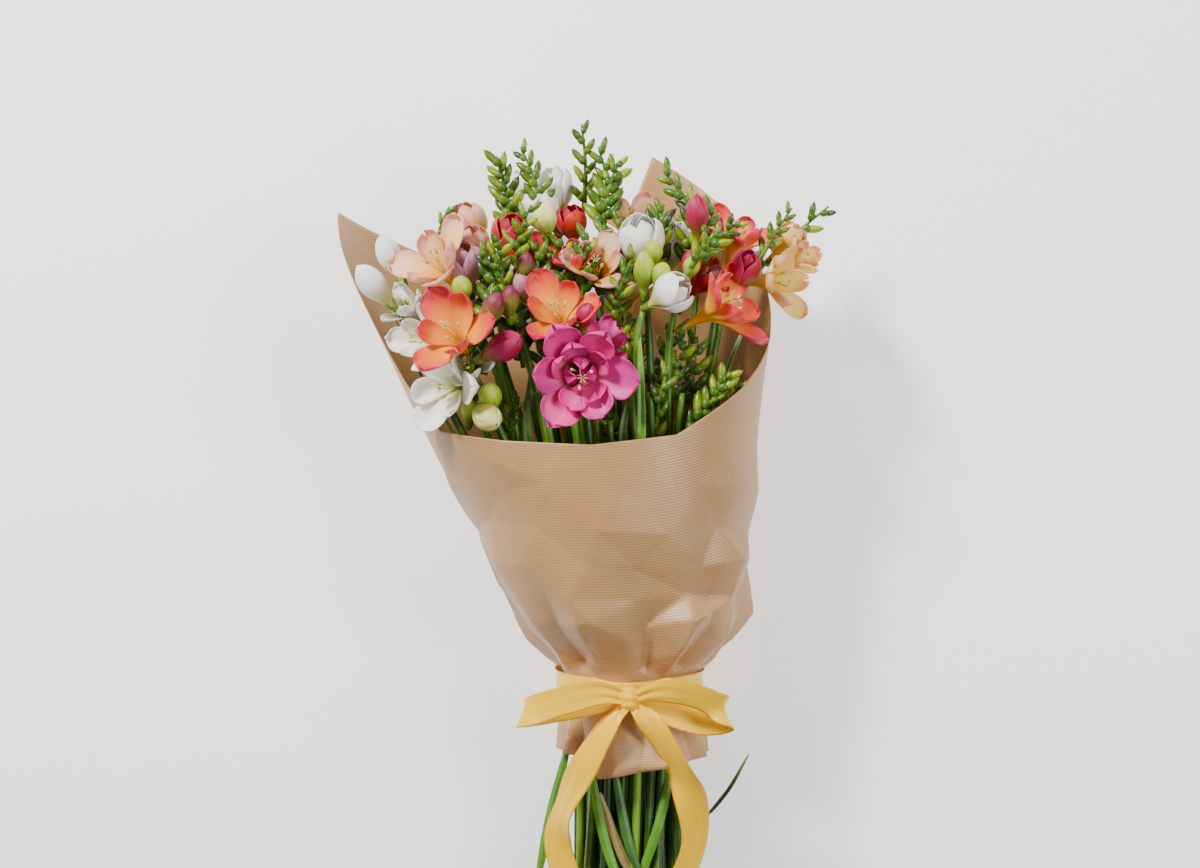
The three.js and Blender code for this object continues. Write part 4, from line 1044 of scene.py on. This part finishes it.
leaves = {  # route in mm from the tie, way across it at its start and end, width, paint, CAD node
    "leafLeft": ([[-24, -40, 28], [-20, 0, 30], [-66, 90, 44], [-104, 156, 58], [-122, 194, 62]],
                 [0.2, 0, 1], [0.3, 0, 1], 6, "leaf", "leaf_left"),
    "leafCutRight": ([[30, -52, 28], [38, -68, 34], [50, -56, 42], [62, -34, 46]],
                     [0.2, 0.2, 1], [0.6, 0.2, 1], 5, "leaf", "leaf_cut_right"),
    "leafCutLeft": ([[-32, -30, 38], [-42, -70, 34], [-50, -112, 26]],
                    [1, 0, 0.7], [1, 0, 0.4], 6, "brightLeaf", "leaf_cut_left"),
    "bladeLeft": ([[-20, -40, 66], [-13, -76, 69], [4, -122, 66]],
                  [1, 0.2, 0.3], [1, 0.3, -0.2], 5, "brightLeaf", None),
    "bladeMiddle": ([[-8, -40, 68], [0, -80, 70], [10, -104, 68]],
                    [1, 0.2, 0], [1, 0.4, 0.2], 5, "leaf", None),
    "bladeRight": ([[22, -36, 62], [14, -70, 68], [-4, -118, 66]],
                   [1, -0.2, 0], [1, -0.4, 0], 5, "brightLeaf", None),
    "bladeFarRight": ([[26, -36, 56], [25, -80, 60], [30, -122, 56]],
                      [1, 0, -0.4], [1, 0, -0.6], 5, "leaf", None),
    "bladeInside": ([[2, 60, 76], [5, 120, 96], [5, 160, 98], [4, 188, 96]],
                    [1, 0, 0], [1, 0, 0], 5, "brightLeaf", None),
    "dryLeaf": ([[-16, -52, 66], [-4, -84, 66], [12, -112, 64]],
                [1, 0.4, 0.2], [1, 0.4, -0.4], 5, "dryLeaf", None),
    "leafInside": ([[10, 10, 60], [4, 80, 84], [-4, 130, 92], [2, 160, 92]],
                   [1, 0, 0.3], [1, 0.2, 0], 7, "leaf", None),
    "leafInsideLeft": ([[-12, 10, 58], [-40, 80, 76], [-52, 130, 84], [-50, 168, 84]],
                       [1, 0, 0], [1, 0.3, 0.3], 7, "leaf", None),
    "leafInsideRight": ([[16, 20, 50], [36, 100, 70], [44, 150, 76], [60, 190, 70]],
                        [1, 0, 0.5], [1, -0.3, 0.8], 7, "leaf", None),
}


def bladePatch(route, first, last, width):
    # a strip along a curve, as wide as the sine of its share to the power 0.7, folded up to its edges
    # and with a groove along its middle
    path = curveThrough(fromTie(route), 48)
    share = np.linspace(0, 1, 48)
    side = (1 - share)[:, None] * np.array(first, float) + share[:, None] * np.array(last, float)
    _, side, over = squared(path, side)
    u = np.linspace(-1, 1, 9)
    half = 0.5 * width * mm * np.maximum(np.sin(np.pi * np.minimum(1, 0.12 + 0.88 * share)) ** 0.7, 0.05)
    fold = 0.28 * np.abs(u)[None, :] * half[:, None]
    fold = fold - 0.1 * half[:, None] * np.exp(-((u / 0.15) ** 2))[None, :]
    points = path[:, None] + side[:, None] * (u[:, None] * half[:, None, None])
    return patch(points + over[:, None] * fold[..., None], shade=0.25)


for name, (route, first, last, width, paint, node) in leaves.items():
    surface = bladePatch(route, first, last, width)
    blade = piece(name, [surface], [greens[paint]], [node] if node else (), 0.4 * mm)
print("leaves made")

studio = {
    "floor": 6, "floorHeight": -0.0004, "floorGlow": 0.6, "sky": 0.36,
    "aim": (0, 0.05, 0.05),
    "lamps": {"keyLight": ((-0.75, 1.0, 1.0), 40, 0.3), "fillLight": ((1.0, 0.1, 1.1), 13, 0.5)},  # W, m
}
half, height = studio["floor"], studio["floorHeight"]
corners = [(-half, -half, height), (half, -half, height), (half, half, height), (-half, half, height)]
floorMesh = bpy.data.meshes.new("floor")
floorMesh.from_pydata(corners, [], [(0, 1, 2, 3)])
floor = bpy.data.objects.new("floor", floorMesh)
bpy.context.scene.collection.objects.link(floor)
floorMaterial, _, floorShader = shaderWith("floorWhite", 0.9)
floorShader.inputs["Base Color"].default_value = (0.95, 0.95, 0.95, 1)
floorShader.inputs["Emission Color"].default_value = (1, 1, 1, 1)
floorShader.inputs["Emission Strength"].default_value = studio["floorGlow"]
floorMesh.materials.append(floorMaterial)

world = bpy.data.worlds.new("studio")
world.use_nodes = True
world.node_tree.nodes["Background"].inputs[0].default_value = (1, 1, 1, 1)
world.node_tree.nodes["Background"].inputs[1].default_value = studio["sky"]
bpy.context.scene.world = world
for name, (place, power, size) in studio["lamps"].items():
    lamp = bpy.data.objects.new(name, bpy.data.lights.new(name, "AREA"))
    lamp.data.energy, lamp.data.size = power, size
    lamp.location = place
    lamp.rotation_euler = (Vector(studio["aim"]) - Vector(place)).to_track_quat("-Z", "Y").to_euler()
    bpy.context.scene.collection.objects.link(lamp)
print("floor and light made")
